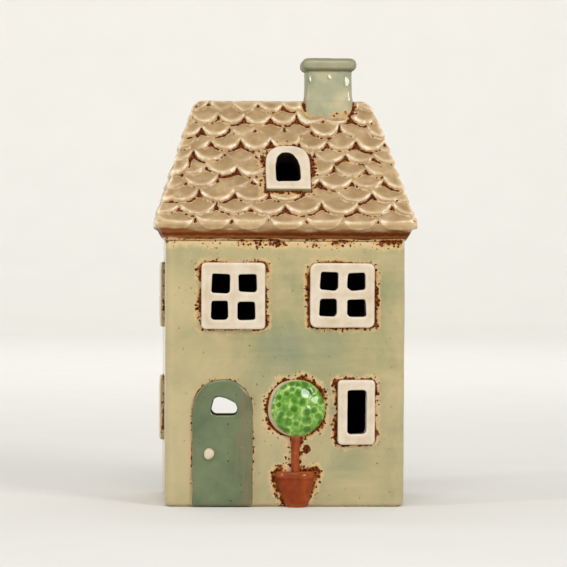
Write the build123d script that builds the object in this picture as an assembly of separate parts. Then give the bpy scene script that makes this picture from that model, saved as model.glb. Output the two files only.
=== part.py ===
"""Tealight house: slab-built stoneware house with a tiled hipped roof, and the tealight that stands in it.

Millimetres, +Z up, the front faces -Y, +X is to the right as seen from the front.
The origin is on the floor under the middle of the house.
"""

import math
import os

from build123d import *

# General
overrun = 1.0

# Walls and floor
wall_width = 100.0
wall_depth = 75.0
wall_height = 110.6
wall_thickness = 6.0
wall_corner_radius = 2.5
base_thickness = 6.0

# Roof, measured on the clay under the tiles
eave_overhang = 2.6
eave_drop = 4.6
lip_height = 3.0
roof_rise = 52.0
roof_top_width = 71.0
roof_top_depth = 18.0
roof_thickness = 5.0

# Tile courses
tile_rows = 10
tile_columns = 7
side_tile_width = 14.0
fewest_tiles = 2
tile_relief = 1.7
tile_upper_relief = 0.3
tile_thickness = 2.8
tile_hang = 2.2
tile_scallop_share = 0.86
tile_round_share = 0.46
tile_lap_share = 0.45

# Chimney
chimney_width = 19.5
chimney_depth = 19.5
chimney_height = 12.8
chimney_corner_radius = 2.0
chimney_foot = 9.0
flue_width = 10.5
flue_depth = 10.5
rim_height = 5.5
rim_overhang = 1.8
rim_edge_radius = 1.6
chimney_x_share = 0.273
chimney_y_share = -0.236

# Window frames
frame_thickness = 2.6
frame_corner_radius = 2.4
frame_edge_radius = 0.8
upper_window_width = 27.0
upper_window_height = 27.8
upper_pane_width = 7.7
upper_pane_height = 7.9
muntin_width = 3.5
pane_corner_radius = 0.9
upper_window_z_share = 0.795
upper_left_x_share = -0.2185
upper_right_x_share = 0.235
lower_window_width = 15.7
lower_window_height = 27.4
lower_pane_width = 8.1
lower_pane_height = 18.4
lower_window_z_share = 0.358
lower_window_x_share = 0.296

# Skylight in the front slope
skylight_width = 18.9
skylight_length = 21.6
skylight_hole_width = 10.6
skylight_hole_length = 14.2
skylight_height = 3.6
skylight_corner_radius = 1.6
skylight_x_share = 0.011
skylight_up_share = 0.43

# Door
door_width = 25.2
door_height = 52.8
door_thickness = 1.9
door_edge_radius = 0.7
door_sill_height = 0.5
door_x_share = -0.26
door_light_width = 11.9
door_light_height = 8.1
door_light_side = 5.0
door_light_corner_radius = 1.2
door_light_z_share = 0.715
door_light_x_share = 0.03
knob_diameter = 4.6
knob_depth = 2.2
knob_edge_radius = 1.3
knob_x_share = -0.225
knob_z_share = 0.413

# Potted tree
tree_x_share = 0.046
crown_diameter = 24.6
crown_depth = 5.0
crown_edge = 1.8
crown_z_share = 0.3725
trunk_width = 4.2
trunk_depth = 3.0
trunk_edge_radius = 1.4
pot_height = 15.0
pot_top_width = 15.8
pot_bottom_width = 9.0
pot_depth = 4.4
pot_edge_radius = 1.4
pot_rim_height = 3.0
pot_rim_overhang = 0.45
pot_rim_depth = 5.0
pot_rim_edge_radius = 1.1

# Opening in the back
mouth_width = 58.0
mouth_height = 64.0

# Tealight
cup_diameter = 38.0
cup_height = 15.0
cup_wall = 0.4
cup_bead_height = 0.9
cup_bead_overhang = 0.5
candle_clearance = 0.3
wax_height = 11.5
wick_diameter = 1.5
wick_stand = 7.0
foot_diameter = 13.0
foot_thickness = 0.3
foot_neck_diameter = 3.2
foot_neck_height = 4.0
wick_clearance = 0.05
wax_clearance = 0.1

os.makedirs("parts", exist_ok=True)

half_x = wall_width / 2
half_y = wall_depth / 2

FRONT = Plane(origin=(0, -half_y, 0), x_dir=(1, 0, 0), z_dir=(0, -1, 0))
BACK = Plane(origin=(0, half_y, 0), x_dir=(-1, 0, 0), z_dir=(0, 1, 0))
LEFT = Plane(origin=(-half_x, 0, 0), x_dir=(0, -1, 0), z_dir=(-1, 0, 0))
RIGHT = Plane(origin=(half_x, 0, 0), x_dir=(0, 1, 0), z_dir=(1, 0, 0))


def through(face, profile, x, z):
    """A cutter for a hole that goes through one wall, drawn on its outer face."""
    cutter = extrude(profile, wall_thickness + 2 * overrun)
    return face * Pos(x, z, -wall_thickness - overrun) * cutter


def soft_plate(profile, thickness, radius):
    """A flat plate with its outward edges rounded, standing on its back face."""
    plate = extrude(profile, thickness)
    return fillet(plate.faces().sort_by(Axis.Z)[-1].edges(), radius)


def save(shape, name):
    shape.label = name
    export_step(shape, "parts/" + name + ".step")


# Window outlines
upper_panes = GridLocations(upper_pane_width + muntin_width, upper_pane_height + muntin_width, 2, 2) * (
    RectangleRounded(upper_pane_width, upper_pane_height, pane_corner_radius)
)
upper_outline = RectangleRounded(upper_window_width, upper_window_height, frame_corner_radius)
lower_pane = RectangleRounded(lower_pane_width, lower_pane_height, pane_corner_radius)
lower_outline = RectangleRounded(lower_window_width, lower_window_height, frame_corner_radius)

upper_panes = Sketch() + upper_panes
upper_frame = soft_plate(upper_outline - upper_panes, frame_thickness, frame_edge_radius)
lower_frame = soft_plate(lower_outline - lower_pane, frame_thickness, frame_edge_radius)

upper_z = upper_window_z_share * wall_height
lower_z = lower_window_z_share * wall_height
upper_left_x = upper_left_x_share * wall_width
upper_right_x = upper_right_x_share * wall_width
lower_x = lower_window_x_share * wall_width

# Door outline and its light
door_x = door_x_share * wall_width
door_spring = door_height - door_width / 2
door_outline = (
    Pos(0, door_sill_height + door_spring / 2) * Rectangle(door_width, door_spring)
    + Pos(0, door_sill_height + door_spring) * Circle(door_width / 2)
)
light_half = door_light_width / 2
light_arc = ThreePointArc((light_half, door_light_side), (0, door_light_height), (-light_half, door_light_side))
light_sides = Polyline((-light_half, door_light_side), (-light_half, 0), (light_half, 0), (light_half, door_light_side))
door_light = make_face([light_sides, light_arc])
door_light = fillet(door_light.vertices(), door_light_corner_radius)
light_x = door_x + door_light_x_share * door_width
light_z = door_light_z_share * door_height

# Floor
inner_x = half_x - wall_thickness
inner_y = half_y - wall_thickness
base_slab = Box(2 * inner_x, 2 * inner_y, base_thickness, align=(Align.CENTER, Align.CENTER, Align.MIN))
save(base_slab, "base_slab")

# Walls: a ring of slabs that meet in mitred corners
ring = extrude(RectangleRounded(wall_width, wall_depth, wall_corner_radius), wall_height)
ring -= Pos(0, 0, -overrun) * extrude(Rectangle(2 * inner_x, 2 * inner_y), wall_height + 2 * overrun)


def wall_slab(side, neighbours):
    """One wall of the ring, cut off at the mitres of its two corners."""
    wall = split(ring, bisect_by=Plane(origin=(0, 0, 0), z_dir=side.z_dir), keep=Keep.TOP)
    for neighbour in neighbours:
        mitre = Plane(origin=side.origin + neighbour.origin, z_dir=side.z_dir - neighbour.z_dir)
        wall = split(wall, bisect_by=mitre, keep=Keep.TOP)
    return wall


front_wall = wall_slab(FRONT, (LEFT, RIGHT))
front_wall -= through(FRONT, upper_panes, upper_left_x, upper_z)
front_wall -= through(FRONT, upper_panes, upper_right_x, upper_z)
front_wall -= through(FRONT, lower_pane, lower_x, lower_z)
front_wall -= through(FRONT, door_light, light_x, light_z)
save(front_wall, "front_wall")

mouth_spring = mouth_height - mouth_width / 2
mouth_outline = (
    Pos(0, mouth_spring / 2) * Rectangle(mouth_width, mouth_spring)
    + Pos(0, mouth_spring) * Circle(mouth_width / 2)
)
back_wall = wall_slab(BACK, (LEFT, RIGHT))
back_wall -= through(BACK, mouth_outline, 0, base_thickness)
save(back_wall, "back_wall")

left_wall = wall_slab(LEFT, (FRONT, BACK))
left_wall -= through(LEFT, upper_panes, 0, upper_z)
left_wall -= through(LEFT, lower_pane, 0, lower_z)
save(left_wall, "left_wall")

right_wall = wall_slab(RIGHT, (FRONT, BACK))
right_wall -= through(RIGHT, upper_panes, 0, upper_z)
right_wall -= through(RIGHT, lower_pane, 0, lower_z)
save(right_wall, "right_wall")

# Frames luted on the walls
save(FRONT * Pos(upper_left_x, upper_z, 0) * upper_frame, "upper_left_window_frame")
save(FRONT * Pos(upper_right_x, upper_z, 0) * upper_frame, "upper_right_window_frame")
save(FRONT * Pos(lower_x, lower_z, 0) * lower_frame, "lower_window_frame")
save(LEFT * Pos(0, upper_z, 0) * upper_frame, "left_upper_window_frame")
save(LEFT * Pos(0, lower_z, 0) * lower_frame, "left_lower_window_frame")
save(RIGHT * Pos(0, upper_z, 0) * upper_frame, "right_upper_window_frame")
save(RIGHT * Pos(0, lower_z, 0) * lower_frame, "right_lower_window_frame")

# Door and knob
door_panel = soft_plate(door_outline, door_thickness, door_edge_radius)
light_cut = extrude(door_light, door_thickness + 2 * overrun)
door_panel -= Pos(light_x - door_x, light_z, -overrun) * light_cut
save(FRONT * Pos(door_x, 0, 0) * door_panel, "door_panel")

door_knob = soft_plate(Circle(knob_diameter / 2), knob_depth, knob_edge_radius)
knob_x = door_x + knob_x_share * door_width
knob_z = door_sill_height + knob_z_share * door_height
save(FRONT * Pos(knob_x, knob_z, door_thickness) * door_knob, "door_knob")

# Potted tree
tree_x = tree_x_share * wall_width
crown_z = crown_z_share * wall_height
crown_radius = crown_diameter / 2
crown_dome = crown_depth - crown_edge
crown_ball = (crown_radius ** 2 + crown_dome ** 2) / (2 * crown_dome)
topiary_crown = Cylinder(crown_radius, crown_depth, align=(Align.CENTER, Align.CENTER, Align.MIN))
topiary_crown &= Pos(0, 0, crown_depth - crown_ball) * Sphere(crown_ball)
topiary_crown = Pos(tree_x, crown_z, 0) * topiary_crown

trunk_length = crown_z - pot_height
trunk = Box(trunk_width, trunk_length, trunk_depth, align=(Align.CENTER, Align.MIN, Align.MIN))
trunk_edges = trunk.edges().filter_by(Axis.Y).group_by(Axis.Z)[-1]
trunk = fillet(trunk_edges, trunk_edge_radius)
topiary_trunk = Pos(tree_x, pot_height, 0) * trunk - topiary_crown

pot_body_height = pot_height - pot_rim_height
pot_outline = Polyline(
    (-pot_bottom_width / 2, 0),
    (pot_bottom_width / 2, 0),
    (pot_top_width / 2, pot_body_height),
    (-pot_top_width / 2, pot_body_height),
    close=True,
)
plant_pot = soft_plate(make_face(pot_outline), pot_depth, pot_edge_radius)
pot_rim = soft_plate(
    Rectangle(pot_top_width + 2 * pot_rim_overhang, pot_rim_height), pot_rim_depth, pot_rim_edge_radius
)
plant_pot += Pos(0, pot_height - pot_rim_height / 2, 0) * pot_rim
plant_pot += Pos(0, pot_body_height, 0) * Box(
    pot_top_width - 2 * pot_edge_radius,
    pot_rim_height,
    pot_depth - pot_edge_radius,
    align=(Align.CENTER, Align.CENTER, Align.MIN),
)
save(FRONT * topiary_crown, "topiary_crown")
save(FRONT * topiary_trunk, "topiary_trunk")
save(FRONT * Pos(tree_x, 0, 0) * plant_pot, "plant_pot")

# Roof levels: the clay lip under the tiles, the slopes, and the cap that is one tile course high
lip_x = half_x + eave_overhang
lip_y = half_y + eave_overhang
lip_bottom = wall_height + eave_drop
lip_top = lip_bottom + lip_height
roof_top = lip_top + roof_rise
top_x = roof_top_width / 2
top_y = roof_top_depth / 2
course_rise = (roof_rise + tile_hang) / tile_rows
cap_bottom = roof_top - course_rise


def slope_of(x_dir, out, lip, top, wall, inner, lip_length, tiles):
    """What one roof slope needs to know: which way it faces, how it leans and how many tiles go across it."""
    run = lip - top
    length = math.hypot(run, roof_rise)
    level = roof_thickness * length / roof_rise
    normal = Vector(*out, 0) * (roof_rise / length) + Vector(0, 0, run / length)
    return {
        "out": Vector(*out, 0),
        "along": Vector(*x_dir, 0),
        "normal": normal,
        "up": normal.cross(Vector(*x_dir, 0)),
        "run": run,
        "length": length,
        "level": level,
        "lip": lip,
        "wall": wall,
        "inner": inner,
        "lip_length": lip_length,
        "tiles": tiles,
    }


front = slope_of((1, 0), (0, -1), lip_y, top_y, half_y, inner_y, lip_x, tile_columns)
back = slope_of((-1, 0), (0, 1), lip_y, top_y, half_y, inner_y, lip_x, tile_columns)
left = slope_of((0, -1), (-1, 0), lip_x, top_x, half_x, inner_x, lip_y, 0)
right = slope_of((0, 1), (1, 0), lip_x, top_x, half_x, inner_x, lip_y, 0)


def face_at(slope, z):
    """How far the slope's clay face stands from the middle of the house at a height."""
    return slope["lip"] - (z - lip_top) * slope["run"] / roof_rise


def clay_slab(slope):
    """The bare slab of one slope, longer than its hips, with the seat that rests on the wall."""
    inner_lip = slope["lip"] - slope["level"]
    haunch = lip_top + (inner_lip - slope["inner"]) * roof_rise / slope["run"]
    cap_face = face_at(slope, cap_bottom)
    outline = Polyline(
        (slope["lip"], lip_bottom),
        (slope["wall"], wall_height),
        (slope["inner"], wall_height),
        (slope["inner"], haunch),
        (cap_face - slope["level"], cap_bottom),
        (cap_face, cap_bottom),
        (slope["lip"], lip_top),
        close=True,
    )
    across = Plane(origin=(0, 0, 0), x_dir=slope["out"], z_dir=slope["out"].cross(Vector(0, 0, 1)))
    return extrude(across * make_face(outline), slope["lip_length"], both=True)


def tile_course(slope, row):
    """One course of tiles as a tilted plate with a scalloped lower edge, let into the slab."""
    bottom = lip_top - tile_hang + row * course_rise
    pitch = course_rise * slope["length"] / roof_rise
    half = slope["lip_length"] - (slope["lip"] - face_at(slope, bottom)) * slope["side_run"] / slope["run"]
    count = slope["tiles"] or max(fewest_tiles, round(2 * half / side_tile_width))
    tile = 2 * half / count
    drop = min(tile_scallop_share * pitch, tile_round_share * tile)
    round_radius = (tile ** 2 / 4 + drop ** 2) / (2 * drop)
    quarter = round_radius - math.sqrt(round_radius ** 2 - tile ** 2 / 16)
    first = -half if row % 2 else -half + tile / 2
    tips = [first + number * tile for number in range(count + row % 2)]
    reach = half + tile
    top = pitch * (1 + tile_lap_share) + drop
    edges = [Line((-reach, 0), (tips[0], 0)), Line((tips[-1], 0), (reach, 0))]
    for tip in tips[:-1]:
        valley = (tip + tile / 2, drop)
        edges.append(ThreePointArc((tip, 0), (tip + tile / 4, quarter), valley))
        edges.append(ThreePointArc(valley, (tip + tile * 3 / 4, quarter), (tip + tile, 0)))
    edges.append(Polyline((reach, 0), (reach, top), (-reach, top), (-reach, 0)))
    tilt = math.atan((tile_relief - tile_upper_relief) / pitch)
    lift = tile_relief - tile_thickness
    corner = slope["out"] * face_at(slope, bottom) + Vector(0, 0, bottom) + slope["normal"] * lift
    lean = slope["normal"] * math.cos(tilt) + slope["up"] * math.sin(tilt)
    bed = Plane(origin=corner, x_dir=slope["along"], z_dir=lean)
    return extrude(bed * make_face(edges), tile_thickness)


def trim(shape, slope, neighbours):
    """Cuts a slope's clay off at its two hips, halfway between the slopes that meet there."""
    for other in neighbours:
        hip = slope["out"] * slope["lip"] + other["out"] * other["lip"] + Vector(0, 0, lip_top)
        mitre = Plane(origin=hip, z_dir=slope["normal"] - other["normal"])
        shape = split(shape, bisect_by=mitre, keep=Keep.TOP)
    return shape


for slope, other in ((front, left), (back, left), (left, front), (right, front)):
    slope["side_run"] = other["run"]

cap_plane = Plane(origin=(0, 0, cap_bottom), z_dir=(0, 0, 1))
cap_core = loft(
    [
        Pos(0, 0, cap_bottom) * Rectangle(2 * face_at(right, cap_bottom), 2 * face_at(back, cap_bottom)),
        Pos(0, 0, roof_top) * Rectangle(roof_top_width, roof_top_depth),
    ],
    ruled=True,
)
slopes = {}
roof_cap = cap_core
top_plane = Plane(origin=(0, 0, roof_top), z_dir=(0, 0, 1))
for name, slope, neighbours in (
    ("roof_front", front, (left, right)),
    ("roof_back", back, (left, right)),
    ("roof_left", left, (front, back)),
    ("roof_right", right, (front, back)),
):
    courses = [tile_course(slope, row) for row in range(tile_rows)]
    body = clay_slab(slope).fuse(*courses[:-1])
    body = split(body, bisect_by=cap_plane, keep=Keep.BOTTOM)
    slopes[name] = trim(body, slope, neighbours)
    crest = split(courses[-1], bisect_by=cap_plane, keep=Keep.TOP)
    crest = split(crest, bisect_by=top_plane, keep=Keep.BOTTOM)
    roof_cap = roof_cap.fuse(trim(crest, slope, neighbours))

# Skylight: an arched frame let through the tiles down to the clay of the front slope
sky_up = skylight_up_share * front["length"]
sky_point = front["out"] * front["lip"] + Vector(0, 0, lip_top) + front["up"] * sky_up
sky_point += Vector(skylight_x_share * wall_width, 0, 0)
SKY = Plane(origin=sky_point, x_dir=front["along"], z_dir=front["normal"])


def arched(width, length):
    """A window outline with a round head, centred on its length."""
    straight = length - width / 2
    outline = Pos(0, (straight - length) / 2) * Rectangle(width, straight)
    return outline + Pos(0, straight - length / 2) * Circle(width / 2)


sky_outline = arched(skylight_width, skylight_length)
sky_hole = arched(skylight_hole_width, skylight_hole_length)
skylight_frame = soft_plate(sky_outline - sky_hole, skylight_height, skylight_corner_radius)
sky_depth = roof_thickness + 2 * overrun
slopes["roof_front"] -= SKY * extrude(sky_outline, skylight_height + overrun)
slopes["roof_front"] -= SKY * Pos(0, 0, -sky_depth) * extrude(sky_hole, sky_depth + overrun)
save(SKY * skylight_frame, "skylight_frame")

# Chimney: a square stack scribed to the cap, open down into the roof
chimney_x = chimney_x_share * roof_top_width
chimney_y = chimney_y_share * roof_top_depth
stack_top = roof_top + chimney_height
flue = Rectangle(flue_width, flue_depth)
stack_outline = RectangleRounded(chimney_width, chimney_depth, chimney_corner_radius)
stack_length = chimney_height + chimney_foot
stack = extrude(stack_outline, stack_length) - Pos(0, 0, -overrun) * extrude(flue, stack_length + 2 * overrun)
chimney_stack = Pos(chimney_x, chimney_y, stack_top - stack_length) * stack
flue_cut = Pos(chimney_x, chimney_y, cap_bottom - chimney_foot) * extrude(flue, chimney_foot + course_rise + overrun)
roof_cap -= flue_cut
slopes["roof_front"] -= flue_cut
below_cap = Pos(chimney_x, chimney_y, cap_bottom - chimney_foot) * extrude(
    Rectangle(2 * chimney_width, 2 * chimney_depth), chimney_foot
)
chimney_stack -= below_cap
chimney_stack -= roof_cap
chimney_stack = chimney_stack.solids().sort_by(SortBy.VOLUME)[-1]
save(chimney_stack, "chimney_stack")

rim_outline = RectangleRounded(
    chimney_width + 2 * rim_overhang, chimney_depth + 2 * rim_overhang, chimney_corner_radius + rim_overhang
)
rim = extrude(rim_outline, rim_height)
rim = fillet(rim.edges().group_by(Axis.Z)[0] + rim.edges().group_by(Axis.Z)[-1], rim_edge_radius)
rim -= Pos(0, 0, -overrun) * extrude(flue, rim_height + 2 * overrun)
save(Pos(chimney_x, chimney_y, stack_top) * rim, "chimney_rim")

roof_cap = roof_cap.solids().sort_by(SortBy.VOLUME)[-1]
save(roof_cap, "roof_cap")
for name, shape in slopes.items():
    save(shape, name)

# Tealight on the floor: a thin metal cup, the wax that lifts out of it, the wick and its metal foot
UP = (Align.CENTER, Align.CENTER, Align.MIN)
cup_radius = cup_diameter / 2
cup = Cylinder(cup_radius, cup_height, align=UP)
bead = Cylinder(cup_radius + cup_bead_overhang, cup_bead_height, align=UP)
cup += Pos(0, 0, cup_height - cup_bead_height) * bead
cup -= Pos(0, 0, cup_wall) * Cylinder(cup_radius - cup_wall, cup_height, align=UP)
save(Pos(0, 0, base_thickness) * cup, "tealight_cup")

candle_bottom = base_thickness + cup_wall
foot_bore = wick_diameter / 2 + wick_clearance
wick_foot = Cylinder(foot_diameter / 2, foot_thickness, align=UP)
wick_foot += Cylinder(foot_neck_diameter / 2, foot_neck_height, align=UP)
wick_foot -= Pos(0, 0, foot_thickness) * Cylinder(foot_bore, foot_neck_height, align=UP)
save(Pos(0, 0, candle_bottom) * wick_foot, "wick_foot")

wax = Cylinder(cup_radius - cup_wall - candle_clearance, wax_height, align=UP)
wax -= Cylinder(foot_diameter / 2 + wax_clearance, foot_thickness + wax_clearance, align=UP)
wax -= Cylinder(foot_neck_diameter / 2 + wax_clearance, foot_neck_height + wax_clearance, align=UP)
wax -= Cylinder(foot_bore, wax_height + overrun, align=UP)
save(Pos(0, 0, candle_bottom) * wax, "tealight_wax")

wick = Cylinder(wick_diameter / 2, wax_height + wick_stand - foot_thickness, align=UP)
save(Pos(0, 0, candle_bottom + foot_thickness) * wick, "tealight_wick")
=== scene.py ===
import math

import bmesh
import bpy
import numpy as np
from mathutils import Matrix, Vector


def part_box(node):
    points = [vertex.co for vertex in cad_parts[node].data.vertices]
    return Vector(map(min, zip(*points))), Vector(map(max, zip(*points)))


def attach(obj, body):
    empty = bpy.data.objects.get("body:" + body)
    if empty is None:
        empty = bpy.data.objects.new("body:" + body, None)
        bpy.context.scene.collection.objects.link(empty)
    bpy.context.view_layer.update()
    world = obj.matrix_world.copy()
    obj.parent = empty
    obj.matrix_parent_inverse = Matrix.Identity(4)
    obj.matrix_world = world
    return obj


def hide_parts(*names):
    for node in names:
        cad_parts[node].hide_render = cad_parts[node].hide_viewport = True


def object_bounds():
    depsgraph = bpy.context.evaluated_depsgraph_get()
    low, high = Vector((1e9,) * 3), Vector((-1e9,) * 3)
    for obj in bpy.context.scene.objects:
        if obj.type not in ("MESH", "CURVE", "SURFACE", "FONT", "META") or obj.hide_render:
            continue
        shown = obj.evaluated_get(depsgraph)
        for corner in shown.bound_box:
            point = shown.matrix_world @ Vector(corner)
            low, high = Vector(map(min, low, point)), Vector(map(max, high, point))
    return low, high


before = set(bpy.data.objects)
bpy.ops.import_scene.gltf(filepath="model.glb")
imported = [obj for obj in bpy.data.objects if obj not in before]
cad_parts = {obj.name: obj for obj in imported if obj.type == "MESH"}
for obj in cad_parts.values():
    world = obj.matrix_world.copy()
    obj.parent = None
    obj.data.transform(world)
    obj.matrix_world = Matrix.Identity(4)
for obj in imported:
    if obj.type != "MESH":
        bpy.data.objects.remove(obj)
cad_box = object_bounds()

# Walls
# Four rolled stoneware slabs, mitred and luted at the corners, with the panes and the back mouth cut by hand.
# Runny celadon glaze lies over them, and iron-rich slip that the joints squeezed out fires to a rust crust.
mm = 0.001
half_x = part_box("right_wall")[1].x / mm
half_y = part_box("back_wall")[1].y / mm
wall_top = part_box("front_wall")[1].z / mm
floor_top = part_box("base_slab")[1].z / mm
wall_thickness = 6.0
inner_x = half_x - wall_thickness
inner_y = half_y - wall_thickness


def face_of(origin, right, up):
    """The frame of a flat face in mm: x to the right, y up and z out of it, as seen from outside."""
    right, up = Vector(right).normalized(), Vector(up).normalized()
    turn = Matrix((right, up, right.cross(up))).transposed().to_4x4()
    return Matrix.Scale(mm, 4) @ Matrix.Translation(Vector(origin)) @ turn


front_face = face_of((0, -half_y, 0), (1, 0, 0), (0, 0, 1))
back_face = face_of((0, half_y, 0), (-1, 0, 0), (0, 0, 1))
left_face = face_of((-half_x, 0, 0), (0, -1, 0), (0, 0, 1))
right_face = face_of((half_x, 0, 0), (0, 1, 0), (0, 0, 1))
ground = face_of((0, 0, 0), (1, 0, 0), (0, 1, 0))


def block(clay, face, *rings):
    """Adds a closed block of clay: rings of (outline, height) stacked up out of a face, in mm."""
    loops = []
    for outline, height in rings:
        loops.append([clay.verts.new(face @ Vector((x, y, height))) for x, y in outline])
    clay.faces.new(list(reversed(loops[0])))
    clay.faces.new(loops[-1])
    for lower, upper in zip(loops, loops[1:]):
        for a in range(len(lower)):
            b = (a + 1) % len(lower)
            clay.faces.new((lower[a], lower[b], upper[b], upper[a]))


def rounded(width, height, radius, centre=(0, 0), steps=5):
    """A rectangle outline with round corners, anticlockwise."""
    points = []
    for corner, (sx, sy) in enumerate(((1, 1), (-1, 1), (-1, -1), (1, -1))):
        for step in range(steps + 1):
            turn = math.pi / 2 * (corner + step / steps)
            x = sx * (width / 2 - radius) + radius * math.cos(turn)
            y = sy * (height / 2 - radius) + radius * math.sin(turn)
            points.append((centre[0] + x, centre[1] + y))
    return points


def arched(width, spring, low, centre=0.0, steps=18, fullness=1.0):
    """An outline with a straight foot and a round head that springs at a height, anticlockwise."""
    points = [(centre - width / 2, low), (centre + width / 2, low)]
    for step in range(steps + 1):
        turn = math.pi * step / steps
        out = math.copysign(abs(math.cos(turn)) ** fullness, math.cos(turn))
        points.append((centre + width / 2 * out, spring + width / 2 * math.sin(turn) ** fullness))
    return points


def moved(outline, by):
    """An outline shifted on its face."""
    return [(x + by[0], y + by[1]) for x, y in outline]


def knead(clay, cutters, grain, passes, wobble=0.0, span=26.0, fuse=False):
    """Rough blocks to one soft fired mesh: joined, cut, evened at a grain, smoothed, left a little uneven."""
    made = []
    for name, rough in [("clay", clay)] + [("knife", cutter) for cutter in cutters]:
        mesh = bpy.data.meshes.new(name)
        rough.to_mesh(mesh)
        rough.free()
        made.append(bpy.data.objects.new(name, mesh))
        bpy.context.scene.collection.objects.link(made[-1])
    lump = made[0]
    if fuse:
        joined = lump.modifiers.new("joined", "REMESH")
        joined.mode = "VOXEL"
        joined.voxel_size = grain * mm
    for knife in made[1:]:
        cut = lump.modifiers.new("cut", "BOOLEAN")
        cut.operation = "DIFFERENCE"
        cut.solver = "MANIFOLD"
        cut.object = knife
    even = lump.modifiers.new("even", "REMESH")
    even.mode = "VOXEL"
    even.voxel_size = grain * mm
    soft = lump.modifiers.new("soft", "SMOOTH")
    soft.factor = 0.5
    soft.iterations = passes
    if wobble:
        hand = lump.modifiers.new("hand", "DISPLACE")
        hand.texture = bpy.data.textures.new("hand", "CLOUDS")
        hand.texture.noise_scale = span * mm
        hand.texture.noise_depth = 1
        hand.texture_coords = "LOCAL"
        hand.strength = wobble * mm
        hand.mid_level = 0.5
    graph = bpy.context.evaluated_depsgraph_get()
    mesh = bpy.data.meshes.new_from_object(lump.evaluated_get(graph))
    for used in made:
        bpy.data.objects.remove(used)
    return mesh


def places(mesh):
    """Every point of a mesh in mm, as rows of x, y and z."""
    flat = np.zeros(len(mesh.vertices) * 3)
    mesh.vertices.foreach_get("co", flat)
    return flat.reshape(-1, 3) / mm


def put(mesh, at):
    """Moves every point of a mesh to its row of x, y and z in mm."""
    mesh.vertices.foreach_set("co", (at * mm).ravel())
    mesh.update()


def outward(mesh):
    """Every point's own direction out of the surface."""
    flat = np.zeros(len(mesh.vertices) * 3)
    mesh.vertex_normals.foreach_get("vector", flat)
    return flat.reshape(-1, 3)


def hollows(mesh, rounds):
    """How deep each point lies in a hollow, in mm: below zero on edges and swellings."""
    at = places(mesh)
    edges = np.zeros(len(mesh.edges) * 2, np.int32)
    mesh.edges.foreach_get("vertices", edges)
    one, two = edges.reshape(-1, 2).T
    count = len(at)
    degree = np.maximum(np.bincount(one, minlength=count) + np.bincount(two, minlength=count), 1)
    calm = at.copy()
    for _ in range(rounds):
        for axis in range(3):
            line = calm[:, axis]
            total = np.bincount(one, line[two], count) + np.bincount(two, line[one], count)
            calm[:, axis] = 0.5 * line + 0.5 * total / degree
    return ((calm - at) * outward(mesh)).sum(1)


def away(points, outline):
    """How far points lie outside an outline on a face, in mm: below zero inside it."""
    x, y = points[:, 0], points[:, 1]
    near = np.full(len(points), 1e9)
    inside = np.zeros(len(points), bool)
    for (ax, ay), (bx, by) in zip(outline, outline[1:] + outline[:1]):
        dx, dy = bx - ax, by - ay
        along = np.clip(((x - ax) * dx + (y - ay) * dy) / max(dx * dx + dy * dy, 1e-9), 0, 1)
        near = np.minimum(near, np.hypot(x - ax - along * dx, y - ay - along * dy))
        if ay != by:
            inside ^= ((ay > y) != (by > y)) & (x < dx * (y - ay) / (dy or 1) + ax)
    return np.where(inside, -near, near)


def squeezed(points, outline, reach, side, head, foot):
    """Slip pressed out round a sprig: full at its edge, gone at the reach, with a weight for each side."""
    corner = np.array(outline)
    middle = (corner.max(0) + corner.min(0)) / 2
    half = (corner.max(0) - corner.min(0)) / 2
    lean = np.abs((points - middle) / half)
    upright = np.clip((lean[:, 1] - lean[:, 0]) * 3 + 0.5, 0, 1)
    weight = np.where(points[:, 1] > middle[1], head, foot) * upright + side * (1 - upright)
    gap = np.maximum(away(points, outline), 0)
    return weight * np.clip(1 - gap / reach, 0, 1) + 0.45 * np.clip(1 - gap / 0.8, 0, 1)


def paint(mesh, **fields):
    """Stores one number for each point under each name, for the glaze to read."""
    for name, values in fields.items():
        layer = mesh.attributes.new(name, "FLOAT", "POINT")
        layer.data.foreach_set("value", np.asarray(values, np.float32))


def dabbed(at, front, lean, *spots):
    """Presses spots (x, z, half width, half height) flat at one lean, so each shows a lamp as one glint."""
    for x, z, wide, tall in spots:
        far = np.hypot((at[:, 0] - x) / wide, (at[:, 2] - z) / tall)
        middle = np.average(at[:, 1], weights=front * np.exp(-4 * far**2))
        flat = middle + lean[0] * (at[:, 0] - x) + lean[1] * (at[:, 2] - z)
        weight = front * np.clip(2.2 * (1 - far**2), 0, 1)
        at[:, 1] += weight * (flat - at[:, 1])


def sliced(mesh, *cuts):
    """A copy of a mesh without what lies beyond each cut, a point in mm and a direction, closed again."""
    part = bmesh.new()
    part.from_mesh(mesh)
    for point, beyond in cuts:
        cut = bmesh.ops.bisect_plane(
            part,
            geom=part.verts[:] + part.edges[:] + part.faces[:],
            plane_co=Vector(point) * mm,
            plane_no=Vector(beyond),
            clear_outer=True,
            dist=1e-7,
        )
        seam = [e for e in cut["geom_cut"] if isinstance(e, bmesh.types.BMEdge)]
        for edge in seam:
            edge.smooth = False
        bmesh.ops.triangle_fill(part, use_beauty=True, edges=seam, normal=Vector(beyond))
    piece = bpy.data.meshes.new("part")
    part.to_mesh(piece)
    part.free()
    return piece


def set_in(name, mesh, material, slot, body, *nodes):
    """Makes a finished mesh a piece of the object in the place of its solids."""
    mesh.name = name
    mesh.materials.clear()
    mesh.materials.append(material)
    mesh.polygons.foreach_set("use_smooth", np.ones(len(mesh.polygons), bool))
    piece = bpy.data.objects.new(name, mesh)
    bpy.context.scene.collection.objects.link(piece)
    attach(piece, body)
    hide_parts(*nodes)
    return piece


def linear(colour):
    """An sRGB hex colour as linear red, green, blue and alpha."""
    parts = [int(colour[n : n + 2], 16) / 255 for n in (1, 3, 5)]
    return tuple(c / 12.92 if c <= 0.04045 else ((c + 0.055) / 1.055) ** 2.4 for c in parts) + (1.0,)


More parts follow.
